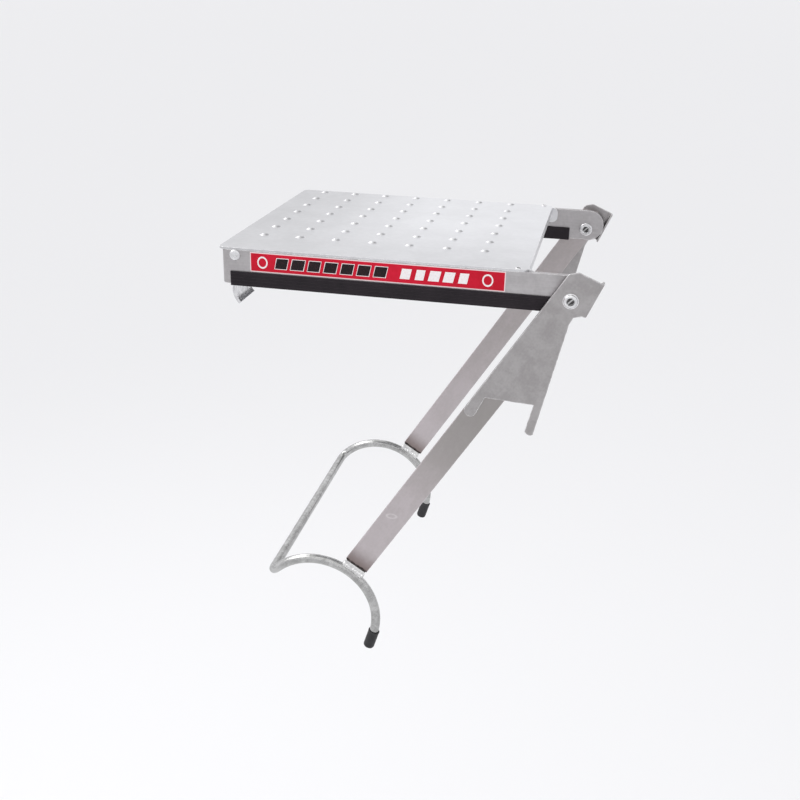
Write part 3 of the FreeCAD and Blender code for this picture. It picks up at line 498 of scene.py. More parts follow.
def socket_painted_shade_and_glint(tree, place, colour):
    """Paints shade into the sockets, as deep recesses look dark, with one painted highlight streak
    across them.
    """
    from_pivot = node(tree, "ShaderNodeVectorMath", {0: place, 1: PIVOT}, operation="SUBTRACT")
    along, up = (part_of(tree, from_pivot.outputs[0], axis) for axis in "XZ")
    inside = remap(tree, distance(tree, along, up), SOCKET - 0.0002, SOCKET + 0.0003, 1.0, 0.0)
    off_flank = math_node(tree, "ABSOLUTE", math_node(tree, "SUBTRACT", along, up))
    glint = remap(tree, off_flank, 0.0005, 0.0012, 0.75, 0.0)
    shade_and_glint = mix(tree, glint, SOCKET_SHADE, SOCKET_GLINT)
    return mix(tree, math_node(tree, "MULTIPLY", inside, 0.93), colour, shade_and_glint)


def recess_painted_shade(tree, place, colour):
    """Paints shade into the recess of the two deck screws."""
    along = math_node(tree, "SUBTRACT", part_of(tree, place, "X"), SCREW_ALONG)
    across = math_node(tree, "SUBTRACT",
                       math_node(tree, "ABSOLUTE", part_of(tree, place, "Y")), SCREW_ACROSS)
    inside = remap(tree, distance(tree, along, across), RECESS, RECESS + 0.0004, 0.95, 0.0)
    return mix(tree, inside, colour, RECESS_SHADE)


def brace_coordinates(point):
    """A point's place along, across the side of, and square to the brace, about the pivot."""
    return Matrix.Rotation(BRACE_SLOPE, 3, "Y") @ (Vector(point) - PIVOT)


BAR_END = min(brace_coordinates(v.co).x for v in frame["nodes"]["strut_bar_left"].data.vertices)
BAR_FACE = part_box("strut_bar_left")[0].y
# Near-white edges: partly wear, partly painted highlight.
WORN_AND_HIGHLIT = dict(edge_light=(0.95, 0.95, 0.95), edge_width=0.0013)
PLATED = dict(line_share=0.2, patches=160.0)
METALS = {
    # The deck's colours are a lit copy, and the frame's, brace's and bar's a shaded copy, of one
    # metal: painted light and shade.
    "deck": metal("deck_sheet_metal", (0.52, 0.52, 0.53), (0.80, 0.805, 0.82), (0.36, 0.5),
                  lines=900.0, line_share=0.12, patches=24.0, shade=deck_painted_ladder_shade,
                  bump=0.000004),
    "frame": metal("rail_aluminium", (0.41, 0.395, 0.40), (0.52, 0.505, 0.51), (0.34, 0.5),
                   line_share=0.3, **WORN_AND_HIGHLIT),
    "brace": metal("bracket_aluminium", (0.355, 0.34, 0.34), (0.45, 0.435, 0.435), (0.34, 0.5),
                   slope=BRACE_SLOPE, line_share=0.15, patches=55.0, **WORN_AND_HIGHLIT),
    "bar": metal("bar_aluminium", (0.42, 0.39, 0.385), (0.56, 0.515, 0.53), (0.34, 0.5),
                 slope=BRACE_SLOPE, line_share=0.25, shade=bar_painted_shade_near_bracket, marks=bar_marks),
    "zinc": metal("bright_zinc", (0.58, 0.58, 0.59), (0.86, 0.86, 0.87), (0.14, 0.3), **PLATED),
    "bolt": metal("bolt_zinc", (0.62, 0.62, 0.63), (0.90, 0.90, 0.91), (0.12, 0.28),
                  marks=socket_painted_shade_and_glint, **PLATED),
    "screw": metal("screw_zinc", (0.62, 0.62, 0.63), (0.90, 0.90, 0.91), (0.12, 0.28),
                   marks=recess_painted_shade, **PLATED),
    # The rod's zinc is painted darker than the bright zinc: painted shade for the darker
    # reflections the rod shows.
    "rod": metal("rod_zinc", (0.30, 0.30, 0.295), (0.60, 0.60, 0.595), (0.12, 0.26),
                 slope=BRACE_SLOPE, line_share=0.3, patches=90.0),
    "weld": metal("weld_metal", (0.55, 0.55, 0.55), (0.85, 0.85, 0.84), (0.18, 0.4),
                  slope=BRACE_SLOPE, line_share=0.1, patches=300.0),
}
print("metals:", ", ".join(m.name for m in METALS.values()))

# %% [markdown]
# ## Rubber, film and ink
# The trims and caps are black vinyl, moulded with a fine grain, and the side labels are crimson
# film with a pale printed border. The film's border is drawn by the distance to the label's edge,
# because it is ink and not a shape.

# %% Rubber, film and ink
LABEL_LOW, LABEL_HIGH = (Vector(corner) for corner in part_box("side_label_left"))
BORDER = 0.0008
VINYL_GRAIN_PER_METRE, INK_GRAIN_PER_METRE = 1800.0, 900.0
VINYL_SHINE, PRINT_SHINE = 0.18, 0.15


def vinyl(name, colour, pale, rough):
    material, tree, shader = new_material(name)
    place = object_place(tree)
    speck = node(tree, "ShaderNodeTexNoise", {"Vector": place, "Scale": VINYL_GRAIN_PER_METRE,
                                              "Detail": 2.0})
    patch = effect_node(tree, dulled_patches, Vector=place, Patches_per_metre=60.0)
    edge = effect_node(tree, worn_and_highlit_edges, Vector=place, Width=0.0006)
    tone = mix(tree, patch, colour, pale)
    scuffed = mix(tree, math_node(tree, "MULTIPLY", edge, 0.3), tone,
                  tuple(min(1.0, 4 * c) for c in pale))
    tree.links.new(scuffed, shader.inputs["Base Color"])
    tree.links.new(remap(tree, patch, 0.0, 1.0, rough, rough + 0.15), shader.inputs["Roughness"])
    raised = node(tree, "ShaderNodeBump", {"Height": speck.outputs["Fac"], "Distance": 0.00003,
                                           "Strength": 0.5})
    tree.links.new(raised.outputs[0], shader.inputs["Normal"])
    shader.inputs["Specular IOR Level"].default_value = VINYL_SHINE
    return material


def label_film():
    material, tree, shader = new_material("crimson_film")
    place = object_place(tree)
    middle = (LABEL_LOW + LABEL_HIGH) / 2
    half = (LABEL_HIGH - LABEL_LOW) / 2
    gaps = []
    for axis, centre, reach in (("X", middle.x, half.x), ("Z", middle.z, half.z)):
        away = math_node(tree, "ABSOLUTE",
                         math_node(tree, "SUBTRACT", part_of(tree, place, axis), centre))
        gaps.append(math_node(tree, "SUBTRACT", reach, away))
    gap = math_node(tree, "MINIMUM", *gaps)
    border = remap(tree, gap, BORDER * 0.7, BORDER * 1.3, 1.0, 0.0)
    patch = effect_node(tree, dulled_patches, Vector=place, Patches_per_metre=30.0)
    red = mix(tree, patch, (0.50, 0.006, 0.022), (0.62, 0.010, 0.036))
    printed = mix(tree, border, red, (0.86, 0.70, 0.72))
    tree.links.new(printed, shader.inputs["Base Color"])
    tree.links.new(remap(tree, patch, 0.0, 1.0, 0.34, 0.46), shader.inputs["Roughness"])
    shader.inputs["Specular IOR Level"].default_value = PRINT_SHINE
    return material


def ink(name, colour, worn):
    material, tree, shader = new_material(name)
    place = object_place(tree)
    grain = node(tree, "ShaderNodeTexNoise", {"Vector": place, "Scale": INK_GRAIN_PER_METRE,
                                               "Detail": 3.0})
    thin = remap(tree, grain.outputs["Fac"], 0.45, 0.75, 0.0, 0.5)
    tree.links.new(mix(tree, thin, colour, worn), shader.inputs["Base Color"])
    tree.links.new(remap(tree, grain.outputs["Fac"], 0.3, 0.7, 0.4, 0.55),
                   shader.inputs["Roughness"])
    shader.inputs["Specular IOR Level"].default_value = PRINT_SHINE
    return material


PLASTICS = {
    "trim": vinyl("trim_vinyl", (0.014, 0.011, 0.014), (0.023, 0.018, 0.022), 0.42),
    "cap": vinyl("cap_vinyl", (0.030, 0.030, 0.032), (0.048, 0.047, 0.050), 0.38),
    "film": label_film(),
    "black": ink("black_ink", (0.012, 0.010, 0.011), (0.08, 0.02, 0.03)),
    "white": ink("white_ink", (0.86, 0.84, 0.84), (0.80, 0.55, 0.58)),
}
print("plastics:", ", ".join(m.name for m in PLASTICS.values()))

# %% [markdown]
# ## Rounded edges
# Sheet and bar never have perfectly sharp edges: a shear or saw leaves a small round that catches
# the light. A copy of each CAD mesh is merged, its flat faces are joined, and every sharp edge
# gets a narrow bevel. Weighted normals keep the large faces flat beside those bevels.

# %% Rounded edges
SHARP_EDGE = math.radians(30.0)
EDGE_SEGMENTS = 2
SAME_PLACE, SAME_PLANE = 0.001 * MM, math.radians(0.2)


def as_piece(name, mesh, body, nodes, material):
    """A finished mesh as a piece that rides on a body and stands for CAD nodes."""
    made = added(name, mesh)
    mesh.materials.clear()
    mesh.materials.append(material)
    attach(made, body)
    if nodes:
        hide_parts(*nodes)
    return made


def mesh_of(bm, name):
    mesh = bpy.data.meshes.new(name)
    bm.to_mesh(mesh)
    bm.free()
    return mesh


def bm_of(mesh):
    bm = bmesh.new()
    bm.from_mesh(mesh)
    return bm


def worked_out(carrier):
    """The plain mesh that an object's modifiers make. The object itself is removed."""
    depsgraph = bpy.context.evaluated_depsgraph_get()
    made = bpy.data.meshes.new_from_object(carrier.evaluated_get(depsgraph))
    bpy.data.objects.remove(carrier)
    return made


def rounded_mesh(bm, width):
    """Bevel the sharp edges, smooth the shading and keep flat faces flat."""
    edges = [e for e in bm.edges if e.calc_face_angle(0.0) > SHARP_EDGE]
    bmesh.ops.bevel(bm, geom=edges, offset=width, offset_type="OFFSET", segments=EDGE_SEGMENTS,
                    profile=0.5, affect="EDGES", clamp_overlap=True)
    for face in bm.faces:
        face.smooth = True
    carrier = added("carrier", mesh_of(bm, "rounded"))
    flat = carrier.modifiers.new("keep_faces_flat", "WEIGHTED_NORMAL")
    flat.keep_sharp = False
    flat.weight = 50
    return worked_out(carrier)


def cad_copy(name):
    """A merged copy of a CAD node's mesh, its flat faces joined."""
    bm = bm_of(frame["nodes"][name].data)
    bmesh.ops.remove_doubles(bm, verts=bm.verts, dist=SAME_PLACE)
    bmesh.ops.dissolve_limit(bm, angle_limit=SAME_PLANE, verts=bm.verts, edges=bm.edges)
    return bm


ROUNDED = [
    # body, metal, width of the round in mm, nodes
    ("platform", "deck", 0.6, ["rear_cross_bar", "cross_stiffener_rear",
                               "cross_stiffener_front"]),
    ("platform", "frame", 0.5, ["frame_rail_left", "frame_rail_right"]),
    ("platform", "zinc", 0.4, ["rung_hook_left", "rung_hook_right", "spacer_bush_left",
                               "spacer_bush_right"]),
    ("brace", "bar", 0.45, ["strut_bar_left", "strut_bar_right"]),
    ("brace", "brace", 0.65, ["strut_bracket_left", "strut_bracket_right"]),
    ("brace", "rod", 0.5, ["hook_rod"]),
]
for body, metal_name, width, names in ROUNDED:
    for name in names:
        mesh = rounded_mesh(cad_copy(name), width * MM)
        as_piece(f"{name}_edged", mesh, body, [name], METALS[metal_name])
        print(f"{name}: {len(mesh.polygons)} faces")

# %% [markdown]
# ## Turned shapes
# Rivets, screws, bolts, nuts, dimples, ribs and caps are all round, as if turned on a lathe. Each
# is a short list of rings, from one end to the other, so its profile can be read off the list.

# %% Turned shapes
def turned(profile, steps=40, hollow=False):
    """A closed shape turned about z, through (radius, height) or (radius, height, corners) rings.

    A ring with corners is a polygon, which makes a socket or a recess. A hollow shape joins its
    last ring to its first and has no end faces.
    """
    bm = bmesh.new()
    rings = []
    for radius, height, *rest in profile:
        sector = 2 * math.pi / rest[0] if rest else 0.0
        ring = []
        for step in range(steps):
            angle = 2 * math.pi * step / steps
            reach = radius * MM
            if rest:
                reach *= math.cos(sector / 2) / math.cos(angle % sector - sector / 2)
            ring.append(bm.verts.new((reach * math.cos(angle), reach * math.sin(angle),
                                      height * MM)))
        rings.append(ring)
    pairs = list(zip(rings, rings[1:]))
    if hollow:
        pairs.append((rings[-1], rings[0]))
    else:
        bm.faces.new(reversed(rings[0]))
        bm.faces.new(rings[-1])
    for lower, upper in pairs:
        for step in range(steps):
            after = (step + 1) % steps
            bm.faces.new((lower[step], lower[after], upper[after], upper[step]))
    bmesh.ops.recalc_face_normals(bm, faces=bm.faces)
    return bm


def placed(bm, matrix):
    bmesh.ops.transform(bm, matrix=matrix, verts=bm.verts)
    return bm


def facing(axis, sign):
    """The turn that takes z to that axis, in that direction."""
    if axis == "Y":
        return Matrix.Rotation(-sign * math.pi / 2, 4, "X")
    if axis == "X":
        return Matrix.Rotation(sign * math.pi / 2, 4, "Y")
    return Matrix.Identity(4)


sample = turned([(1, 0), (1, 1)])
print("a plain pin has", len(sample.faces), "faces")
sample.free()

# %% [markdown]
# ## Geometry trees
# Rivets, screws, dimples, ribs and print come in rows, and a weld is a row of ripples. Each
# is one shape made once and then copied by a geometry tree along one step and again along a
# second step. The tree's inputs are named, so a row's count or pitch is one number.

# %% Geometry trees
def geometry_tree(name, sizes):
    tree = bpy.data.node_groups.new(name, "GeometryNodeTree")
    sockets = [("Geometry", "NodeSocketGeometry"), *sizes, ("Material", "NodeSocketMaterial")]
    for label, kind in sockets:
        tree.interface.new_socket(label, in_out="INPUT", socket_type=kind)
    tree.interface.new_socket("Geometry", in_out="OUTPUT", socket_type="NodeSocketGeometry")
    given = node(tree, "NodeGroupInput").outputs
    return tree, given, node(tree, "NodeGroupOutput").inputs


def end_tree(tree, given, result, geometry):
    """The last two nodes of every tree: real geometry, and its material."""
    real = node(tree, "GeometryNodeRealizeInstances", {"Geometry": geometry})
    painted = node(tree, "GeometryNodeSetMaterial", {"Geometry": real.outputs[0],
                                                     "Material": given["Material"]})
    tree.links.new(painted.outputs[0], result["Geometry"])
    return tree


def build_repeat():
    """Copies the shape along a row, and the row along a second step, turning it each time."""
    tree, given, result = geometry_tree("repeat_in_rows", [
        ("Row start", "NodeSocketVector"), ("Row count", "NodeSocketInt"),
        ("Row step", "NodeSocketVector"), ("Start", "NodeSocketVector"),
        ("Rows", "NodeSocketInt"), ("Step", "NodeSocketVector"), ("Turn", "NodeSocketVector"),
        ("Narrowest", "NodeSocketFloat"), ("Seed", "NodeSocketInt")])
    row = node(tree, "GeometryNodeMeshLine", {
        "Count": given["Row count"], "Start Location": given["Row start"],
        "Offset": given["Row step"]}, mode="OFFSET")
    width = node(tree, "FunctionNodeRandomValue", {2: given["Narrowest"], 3: 1.0,
                                                   "Seed": given["Seed"]}, data_type="FLOAT")
    size = node(tree, "ShaderNodeCombineXYZ", {0: width.outputs[1], 1: 1.0, 2: 1.0})
    in_row = node(tree, "GeometryNodeInstanceOnPoints", {
        "Points": row.outputs[0], "Instance": given["Geometry"], "Scale": size.outputs[0]})
    one_row = node(tree, "GeometryNodeRealizeInstances", {"Geometry": in_row.outputs[0]})
    rows = node(tree, "GeometryNodeMeshLine", {
        "Count": given["Rows"], "Start Location": given["Start"], "Offset": given["Step"]},
        mode="OFFSET")
    index = node(tree, "GeometryNodeInputIndex")
    turn = node(tree, "ShaderNodeVectorMath", {0: given["Turn"], "Scale": index.outputs[0]},
                operation="SCALE")
    rotation = node(tree, "FunctionNodeEulerToRotation", {0: turn.outputs[0]})
    everything = node(tree, "GeometryNodeInstanceOnPoints", {
        "Points": rows.outputs[0], "Instance": one_row.outputs[0],
        "Rotation": rotation.outputs[0]})
    return end_tree(tree, given, result, everything.outputs[0])


def build_ripples():
    """Adds a row of overlapping drops, each a little different, to the shape it is given."""
    tree, given, result = geometry_tree("weld_ripples", [
        ("Start", "NodeSocketVector"), ("Count", "NodeSocketInt"), ("Step", "NodeSocketVector"),
        ("Drop size", "NodeSocketVector"), ("Slope", "NodeSocketFloat"),
        ("Wander", "NodeSocketFloat"), ("Seed", "NodeSocketInt")])
    row = node(tree, "GeometryNodeMeshLine", {
        "Count": given["Count"], "Start Location": given["Start"], "Offset": given["Step"]},
        mode="OFFSET")
    back = math_node(tree, "MULTIPLY", given["Wander"], -1.0)
    low = node(tree, "ShaderNodeCombineXYZ", {0: back, 1: back, 2: back})
    high = node(tree, "ShaderNodeCombineXYZ", {0: given["Wander"], 1: given["Wander"],
                                               2: given["Wander"]})
    wander = node(tree, "FunctionNodeRandomValue", {0: low.outputs[0], 1: high.outputs[0],
                                                    "Seed": given["Seed"]},
                  data_type="FLOAT_VECTOR")
    moved = node(tree, "GeometryNodeSetPosition", {"Geometry": row.outputs[0],
                                                   "Offset": wander.outputs[0]})
    drop = node(tree, "GeometryNodeMeshUVSphere", {"Segments": 20, "Rings": 12, "Radius": 1.0})
    smooth = node(tree, "GeometryNodeSetShadeSmooth", {"Geometry": drop.outputs[0]})
    growth = node(tree, "FunctionNodeRandomValue", {2: 0.85, 3: 1.1, "Seed": given["Seed"]},
                  data_type="FLOAT")
    size = node(tree, "ShaderNodeVectorMath", {0: given["Drop size"],
                                               "Scale": growth.outputs[1]}, operation="SCALE")
    lean = node(tree, "ShaderNodeCombineXYZ", {0: 0.0, 1: given["Slope"], 2: 0.0})
    rotation = node(tree, "FunctionNodeEulerToRotation", {0: lean.outputs[0]})
    drops = node(tree, "GeometryNodeInstanceOnPoints", {
        "Points": moved.outputs[0], "Instance": smooth.outputs[0], "Scale": size.outputs[0],
        "Rotation": rotation.outputs[0]})
    joined = node(tree, "GeometryNodeJoinGeometry", {"Geometry": drops.outputs[0]})
    tree.links.new(given["Geometry"], joined.inputs[0])
    return end_tree(tree, given, result, joined.outputs[0])


def grown(mesh, tree, material, **sizes):
    """The plain mesh that a geometry tree makes of a mesh, with its named inputs set."""
    carrier = added("carrier", mesh)
    modifier = carrier.modifiers.new("tree", "NODES")
    modifier.node_group = tree
    wanted = {label.replace("_", " "): given for label, given in sizes.items()}
    wanted["Material"] = material
    for item in tree.interface.items_tree:
        if item.in_out == "INPUT" and item.name in wanted:
            modifier[item.identifier] = wanted.pop(item.name)
    if wanted:
        raise RuntimeError(f"{tree.name} has no input named {sorted(wanted)}")
    return worked_out(carrier)


repeat_in_rows, weld_ripples = build_repeat(), build_ripples()


def repeated(bm, material, row_start=(0, 0, 0), row_count=1, row_step=(0, 0, 0),
             start=(0, 0, 0), rows=1, step=(0, 0, 0), turn=(0, 0, 0), narrowest=1.0, seed=0,
             soften=0.12):
    """The shape in bm, its edges softened, copied in rows. Lengths are in millimetres."""
    def metres(vector):
        return [part * MM for part in vector]
    mesh = rounded_mesh(bm, soften * MM)
    return grown(mesh, repeat_in_rows, material, Row_start=metres(row_start),
                 Row_count=row_count, Row_step=metres(row_step), Start=metres(start),
                 Rows=rows, Step=metres(step), Turn=list(turn), Narrowest=narrowest, Seed=seed)


print("trees:", repeat_in_rows.name, weld_ripples.name)

# %% [markdown]
# ## Deck
# The deck is one bent sheet with its edges turned down. Its 49 dimples are pressed up from below
# so that a boot grips. The plain sheet comes from the CAD mesh with its dimples cut off and their
# holes closed, and each dimple is turned with a flared foot, as pressed metal stretches.

# %% Deck
DECK_TOP = 54.0
# A dimple from its foot inside the sheet, over its flare, to its crown: radius, height.
DIMPLE = [(4.6, -0.9), (4.9, -0.3), (4.9, 0.0), (4.45, 0.05), (3.95, 0.24), (3.4, 0.62),
          (2.8, 1.06), (2.1, 1.38), (1.3, 1.55), (0.5, 1.6)]
DIMPLE_START, DIMPLE_PITCH, DIMPLES = (10.0, -84.6), 36.0, 7
ABOVE_SHEET, SHEET_ROUND = 0.05, 0.5


def deck_without_dimples():
    bm = cad_copy("deck_plate")
    raised = [v for v in bm.verts if v.co.z > (DECK_TOP + ABOVE_SHEET) * MM]
    bmesh.ops.delete(bm, geom=raised, context="VERTS")
    open_edges = [e for e in bm.edges if e.is_boundary]
    bmesh.ops.holes_fill(bm, edges=open_edges, sides=0)
    bmesh.ops.recalc_face_normals(bm, faces=bm.faces)
    return bm


sheet = rounded_mesh(deck_without_dimples(), SHEET_ROUND * MM)
as_piece("deck_sheet", sheet, "platform", ["deck_plate"], METALS["deck"])
dimples = repeated(turned(DIMPLE, steps=32), METALS["deck"],
                   row_start=(*DIMPLE_START, DECK_TOP), row_count=DIMPLES,
                   row_step=(DIMPLE_PITCH, 0, 0), rows=DIMPLES, step=(0, DIMPLE_PITCH, 0),
                   soften=0.02)
as_piece("deck_dimples", dimples, "platform", [], METALS["deck"])
print("deck faces", len(sheet.polygons), "dimple faces", len(dimples.polygons))

# %% [markdown]
# ## Rivets and screws
# Two domed rivets hold the rear corners of the deck to the rails, and four hold the rung hooks
# to the rear bar. Two small countersunk screws hold the deck's front corners. All are plated
# steel, so they are brighter than the aluminium round them.

# %% Rivets and screws
RAIL_FACE, REAR_FACE = 140.4, -14.5
# Each goes from its far end to its head's crown: radius, height above what the head sits on.
# The last two rings of the screw are its square recess.
RIVET = [(3.8, -8.0), (3.8, -6.8), (2.4, -6.8), (2.4, 0.0), (5.3, 0.0), (5.25, 0.4), (4.9, 0.95),
         (4.1, 1.5), (3.0, 1.82), (1.8, 1.96), (0.6, 2.0)]
DECK_SCREW = [(1.3, -8.0), (1.3, -1.5), (2.8, 0.0), (2.65, 0.4), (2.3, 0.72), (1.8, 0.9),
              (1.35, 0.9, 4), (0.8, 0.0, 4)]
FASTENERS = [
    # node, metal, profile, the way its head faces, its rows
    ("frame_rivets", "zinc", RIVET, ("Y", -1),
     dict(row_start=(0, -RAIL_FACE, 47), start=(-0.4, 0, 0), rows=2, turn=(0, 0, math.pi))),
    ("hook_rivets", "zinc", RIVET, ("X", -1),
     dict(row_start=(REAR_FACE, -85, 39), row_count=2, row_step=(0, 20, 0), rows=2,
          step=(0, 150, 0))),
    ("deck_screws", "screw", DECK_SCREW, ("Z", 1),
     dict(row_start=(SCREW_ALONG / MM, -SCREW_ACROSS / MM, DECK_TOP), rows=2,
          step=(0, 2 * SCREW_ACROSS / MM, 0))),
]
for name, finish, profile, way, rows in FASTENERS:
    mesh = repeated(placed(turned(profile, steps=32), facing(*way)), METALS[finish], **rows)
    as_piece(f"{name}_turned", mesh, "platform", [name], METALS[finish])
    print(name, len(mesh.polygons), "faces")

# %% [markdown]
# ## Pivot bolts and nuts
# Each side of the brace turns on one bolt. Its head is a low dome over a washer with a hexagonal
# socket, and the nut inside the rail is round with a socket too. Both are turned as one list of
# rings, where the socket's rings have six corners.

# %% Pivot bolts and nuts
SHANK, WASHER, CORNER = 4.7, 7.0, 3.5
# Heights are measured along y from the middle of the part. The last two rings are the socket.
BOLT_FOOT, BOLT_SEAT, NUT_SEAT, NUT_CROWN = 133.8, 148.6, 135.6, 131.2
BOLT_ROUND = 0.15
BOLT = [(SHANK, BOLT_FOOT), (SHANK, BOLT_SEAT), (WASHER, BOLT_SEAT), (WASHER, 149.9),
        (6.35, 149.95), (6.2, 150.6), (5.8, 151.3), (5.2, 151.8), (4.5, 152.1), (4.0, 152.1),
        (CORNER, 151.8, 6), (CORNER, 149.5, 6)]
NUT = [(SHANK, BOLT_FOOT), (SHANK, NUT_SEAT), (WASHER, NUT_SEAT), (WASHER, 132.0),
       (6.3, NUT_CROWN), (4.0, NUT_CROWN), (CORNER, 131.6, 6), (CORNER, 133.4, 6)]
for side, sign in SIDES.items():
    place = Matrix.Translation((PIVOT.x, 0, PIVOT.z)) @ facing("Y", sign)
    for kind, profile in (("bolt", BOLT), ("nut", NUT)):
        name = f"pivot_{kind}_{side}"
        mesh = rounded_mesh(placed(turned(profile, steps=48), place), BOLT_ROUND * MM)
        as_piece(f"{name}_turned", mesh, "platform", [name], METALS["bolt"])
        print(name, len(mesh.polygons), "faces")

# %% [markdown]
# ## Edge trims
# A black vinyl channel covers the lower edge of each rail, where a hand or shin would meet it.
# Its side is extruded with four fine ribs along its length.

# %% Edge trims
RIB_COUNT, RIB_PITCH, RIB_RADIUS, RIB_TIP, RIB_TAPER = 4, 3.1, 0.5, 0.25, 1.0
# How far a rib stops short of each end of the trim, and how deep its middle is in the side.
RIB_SET_IN, RIB_SUNK = 0.6, 0.1
TRIM_ROUND = 0.4
for side, sign in SIDES.items():
    name = f"edge_trim_{side}"
    low, high = (Vector(corner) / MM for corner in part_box(name))
    mesh = rounded_mesh(cad_copy(name), TRIM_ROUND * MM)
    as_piece(f"{name}_edged", mesh, "platform", [name], PLASTICS["trim"])
    length = high.x - low.x - 2 * RIB_SET_IN
    rib = placed(turned([(RIB_TIP, 0), (RIB_RADIUS, RIB_TAPER), (RIB_RADIUS, length - RIB_TAPER),
                         (RIB_TIP, length)], steps=12), facing("X", 1))
    outer = sign * max(abs(low.y), abs(high.y))
    first = (low.z + high.z) / 2 - RIB_PITCH * (RIB_COUNT - 1) / 2
    ribs = repeated(rib, PLASTICS["trim"],
                    row_start=(low.x + RIB_SET_IN, outer - sign * RIB_SUNK, first),
                    row_count=RIB_COUNT, row_step=(0, 0, RIB_PITCH))
    as_piece(f"{name}_ribs", ribs, "platform", [], PLASTICS["trim"])
    print(name, len(mesh.polygons), "faces,", len(ribs.polygons), "in ribs")

# %% [markdown]
# ## Side labels
# A long crimson label fills the side of each rail. A real one carries words, which this
# generic part doesn't have, so slanted blocks in black and white stand in for print, with a plain
# ring at each end. The blocks are a hair thicker than the film, as screen ink is.

# %% Side labels
BLOCK_HEIGHT, BLOCK_LEAN, NARROWEST_BLOCK = 9.6, 2.4, 0.8
INK_THICK, FILM_ROUND, INK_ROUND = 0.05, 0.06, 0.01
RING_PLACES, RING_RADIUS, RING_BAND, RING_TALLER = (26.5, 236.5), 5.0, 1.3, 1.15
PRINT = [
    # name, ink, first x, pitch, count, width, margin, lift, seed
    ("outline", "white", 45.0, 15.6, 7, 12.2, 0.55, 0.0, 5),
    ("dark", "black", 45.0, 15.6, 7, 12.2, 0.0, INK_THICK, 5),
    ("pale", "white", 162.0, 13.2, 5, 10.0, 0.0, 0.0, 9),
]


def slanted_block(width, margin):
    """A leaning block, thin along y and facing -y, its middle at the origin."""
    bm = bmesh.new()
    high, wide, lean = BLOCK_HEIGHT / 2 + margin, width / 2 + margin, BLOCK_LEAN / 2
    corners = [(-wide - lean, -high), (wide - lean, -high), (wide + lean, high),
               (-wide + lean, high)]
    front = [bm.verts.new((x * MM, -INK_THICK * MM, z * MM)) for x, z in corners]
    back = [bm.verts.new((x * MM, 0, z * MM)) for x, z in corners]
    bm.faces.new(front)
    bm.faces.new(reversed(back))
    for i in range(4):
        j = (i + 1) % 4
        bm.faces.new((front[j], front[i], back[i], back[j]))
    bmesh.ops.recalc_face_normals(bm, faces=bm.faces)
    return bm


def to_side(bm, sign):
    """Turns what faces -y at the left label to the right label, so that it reads the same."""
    if sign > 0:
        middle = Vector(((LABEL_LOW.x + LABEL_HIGH.x) / 2, 0, 0))
        placed(bm, Matrix.Translation(middle) @ Matrix.Rotation(math.pi, 4, "Z")
               @ Matrix.Translation(-middle))
    return bm


label_face = LABEL_LOW.y / MM
label_middle = (LABEL_LOW.z + LABEL_HIGH.z) / 2 / MM
for side, sign in SIDES.items():
    name = f"side_label_{side}"
    film = rounded_mesh(cad_copy(name), FILM_ROUND * MM)
    as_piece(f"{name}_film", film, "platform", [name], PLASTICS["film"])
    for part, ink_name, first, pitch, count, width, margin, lift, seed in PRINT:
        blocks = repeated(slanted_block(width, margin), PLASTICS[ink_name],
                          row_start=(first, label_face - lift, label_middle), row_count=count,
                          row_step=(pitch, 0, 0), narrowest=NARROWEST_BLOCK, seed=seed,
                          soften=INK_ROUND)
        mesh = mesh_of(to_side(bm_of(blocks), sign), "print")
        as_piece(f"{name}_{part}", mesh, "platform", [], PLASTICS[ink_name])
    ring = turned([(RING_RADIUS, 0), (RING_RADIUS, INK_THICK),
                   (RING_RADIUS - RING_BAND, INK_THICK), (RING_RADIUS - RING_BAND, 0)],
                  steps=40, hollow=True)
    taller = Matrix.Diagonal((1, RING_TALLER, 1, 1))
    rings = repeated(placed(ring, facing("Y", -1) @ taller), PLASTICS["white"],
                     row_start=(RING_PLACES[0], label_face, label_middle), row_count=2,
                     row_step=(RING_PLACES[1] - RING_PLACES[0], 0, 0), soften=INK_ROUND)
    mesh = mesh_of(to_side(bm_of(rings), sign), "rings")
    as_piece(f"{name}_rings", mesh, "platform", [], PLASTICS["white"])
    print(name, "printed")

# %% [markdown]
# ## Rod caps
# A soft vinyl cap is pushed over each cut end of the hook rod, so that it can't scratch the
# ladder or a hand. It has a thin wall and a round end. Its axis comes from the CAD cap.

# %% Rod caps
# From the bore's mouth, round the rolled lip and along the side, to the round end.
CAP = [(4.95, 20.0), (4.95, 0.3), (5.2, 0.0), (5.7, 0.0), (5.95, 0.5), (5.95, 1.4), (5.75, 1.8),
       (5.75, 18.6), (5.6, 19.7), (5.1, 20.6), (4.2, 21.2), (3.0, 21.5), (1.2, 21.6)]
CAP_ROUND = 0.08
AXIS_ROUNDS = 30


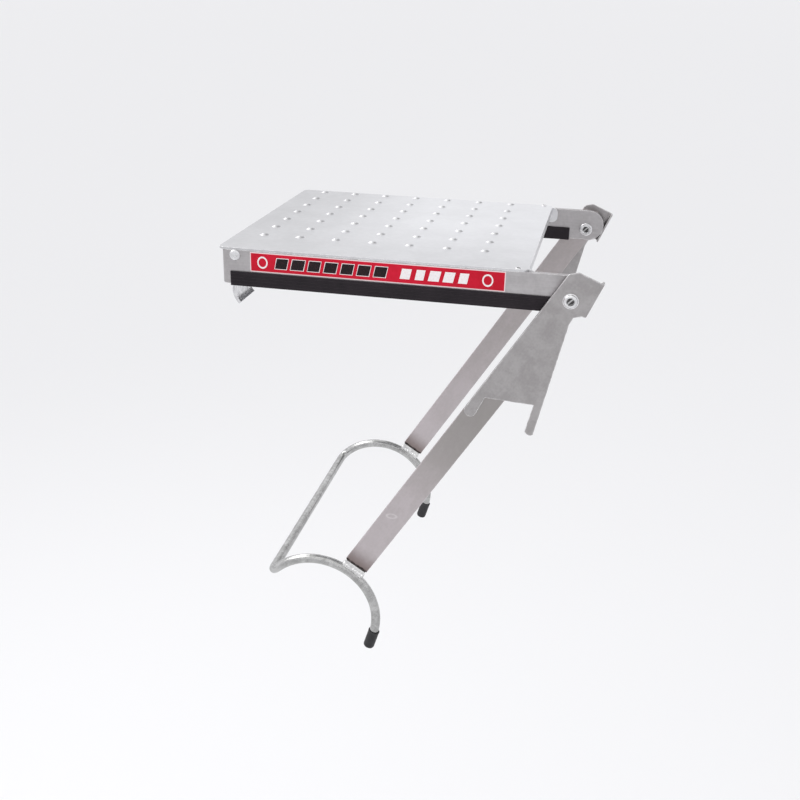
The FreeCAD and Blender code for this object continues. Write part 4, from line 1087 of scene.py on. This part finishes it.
def cap_axis(name):
    """The middle of the cap's mouth and the way from it to the closed end.

    A cap is longer than it is wide, so its axis is the way its points spread out most. Each round
    pulls the way nearer to that.
    """
    places = [v.co.copy() for v in frame["nodes"][name].data.vertices]
    middle = sum(places, Vector()) / len(places)
    way = max(places, key=lambda p: (p - middle).length) - middle
    for _ in range(AXIS_ROUNDS):
        way = sum(((p - middle) * (p - middle).dot(way) for p in places), Vector()).normalized()
    if way.z > 0:
        way.negate()
    along = [(p - middle).dot(way) for p in places]
    return middle + way * min(along), way


for side in SIDES:
    name = f"rod_cap_{side}"
    mouth, way = cap_axis(name)
    turn = way.to_track_quat("Z", "Y").to_matrix().to_4x4()
    mesh = rounded_mesh(placed(turned(CAP, steps=40), Matrix.Translation(mouth) @ turn),
                        CAP_ROUND * MM)
    as_piece(f"{name}_moulded", mesh, "brace", [name], PLASTICS["cap"])
    print(name, "mouth at", tuple(round(c, 4) for c in mouth))

# %% [markdown]
# ## Welds
# The hook rod is welded across the square end of each bar. A weld is laid as overlapping drops,
# so a row of flattened drops, each a little larger or smaller, covers the CAD bead.

# %% Welds
DROPS, DROP_SIZE, DROP_WANDER = 9, [0.0030, 0.0040, 0.0021], 0.0003
# How far the row of drops stands in from the bead's lower face, and from each end of the bead.
DROPS_IN, DROPS_MARGIN = 0.0035, 0.0008
DROP_SEEDS = {"left": 3, "right": 8}
BEAD_ROUND = 0.5


for side in SIDES:
    name = f"weld_bead_{side}"
    places = [brace_coordinates(v.co) for v in frame["nodes"][name].data.vertices]
    low = Vector(min(p[i] for p in places) for i in range(3))
    high = Vector(max(p[i] for p in places) for i in range(3))
    back = Matrix.Rotation(-BRACE_SLOPE, 3, "Y")
    start = back @ Vector((low.x + DROPS_IN, 0, low.z + DROPS_MARGIN)) + PIVOT
    start.y = (low.y + high.y) / 2 + PIVOT.y
    step = back @ Vector((0, 0, (high.z - low.z - 2 * DROPS_MARGIN) / (DROPS - 1)))
    core = rounded_mesh(cad_copy(name), BEAD_ROUND * MM)
    bead = grown(core, weld_ripples, METALS["weld"], Start=list(start), Count=DROPS,
                 Step=list(step), Drop_size=DROP_SIZE, Slope=-BRACE_SLOPE, Wander=DROP_WANDER,
                 Seed=DROP_SEEDS[side])
    as_piece(f"{name}_rippled", bead, "brace", [name], METALS["weld"])
    print(name, len(bead.polygons), "faces")

# %% [markdown]
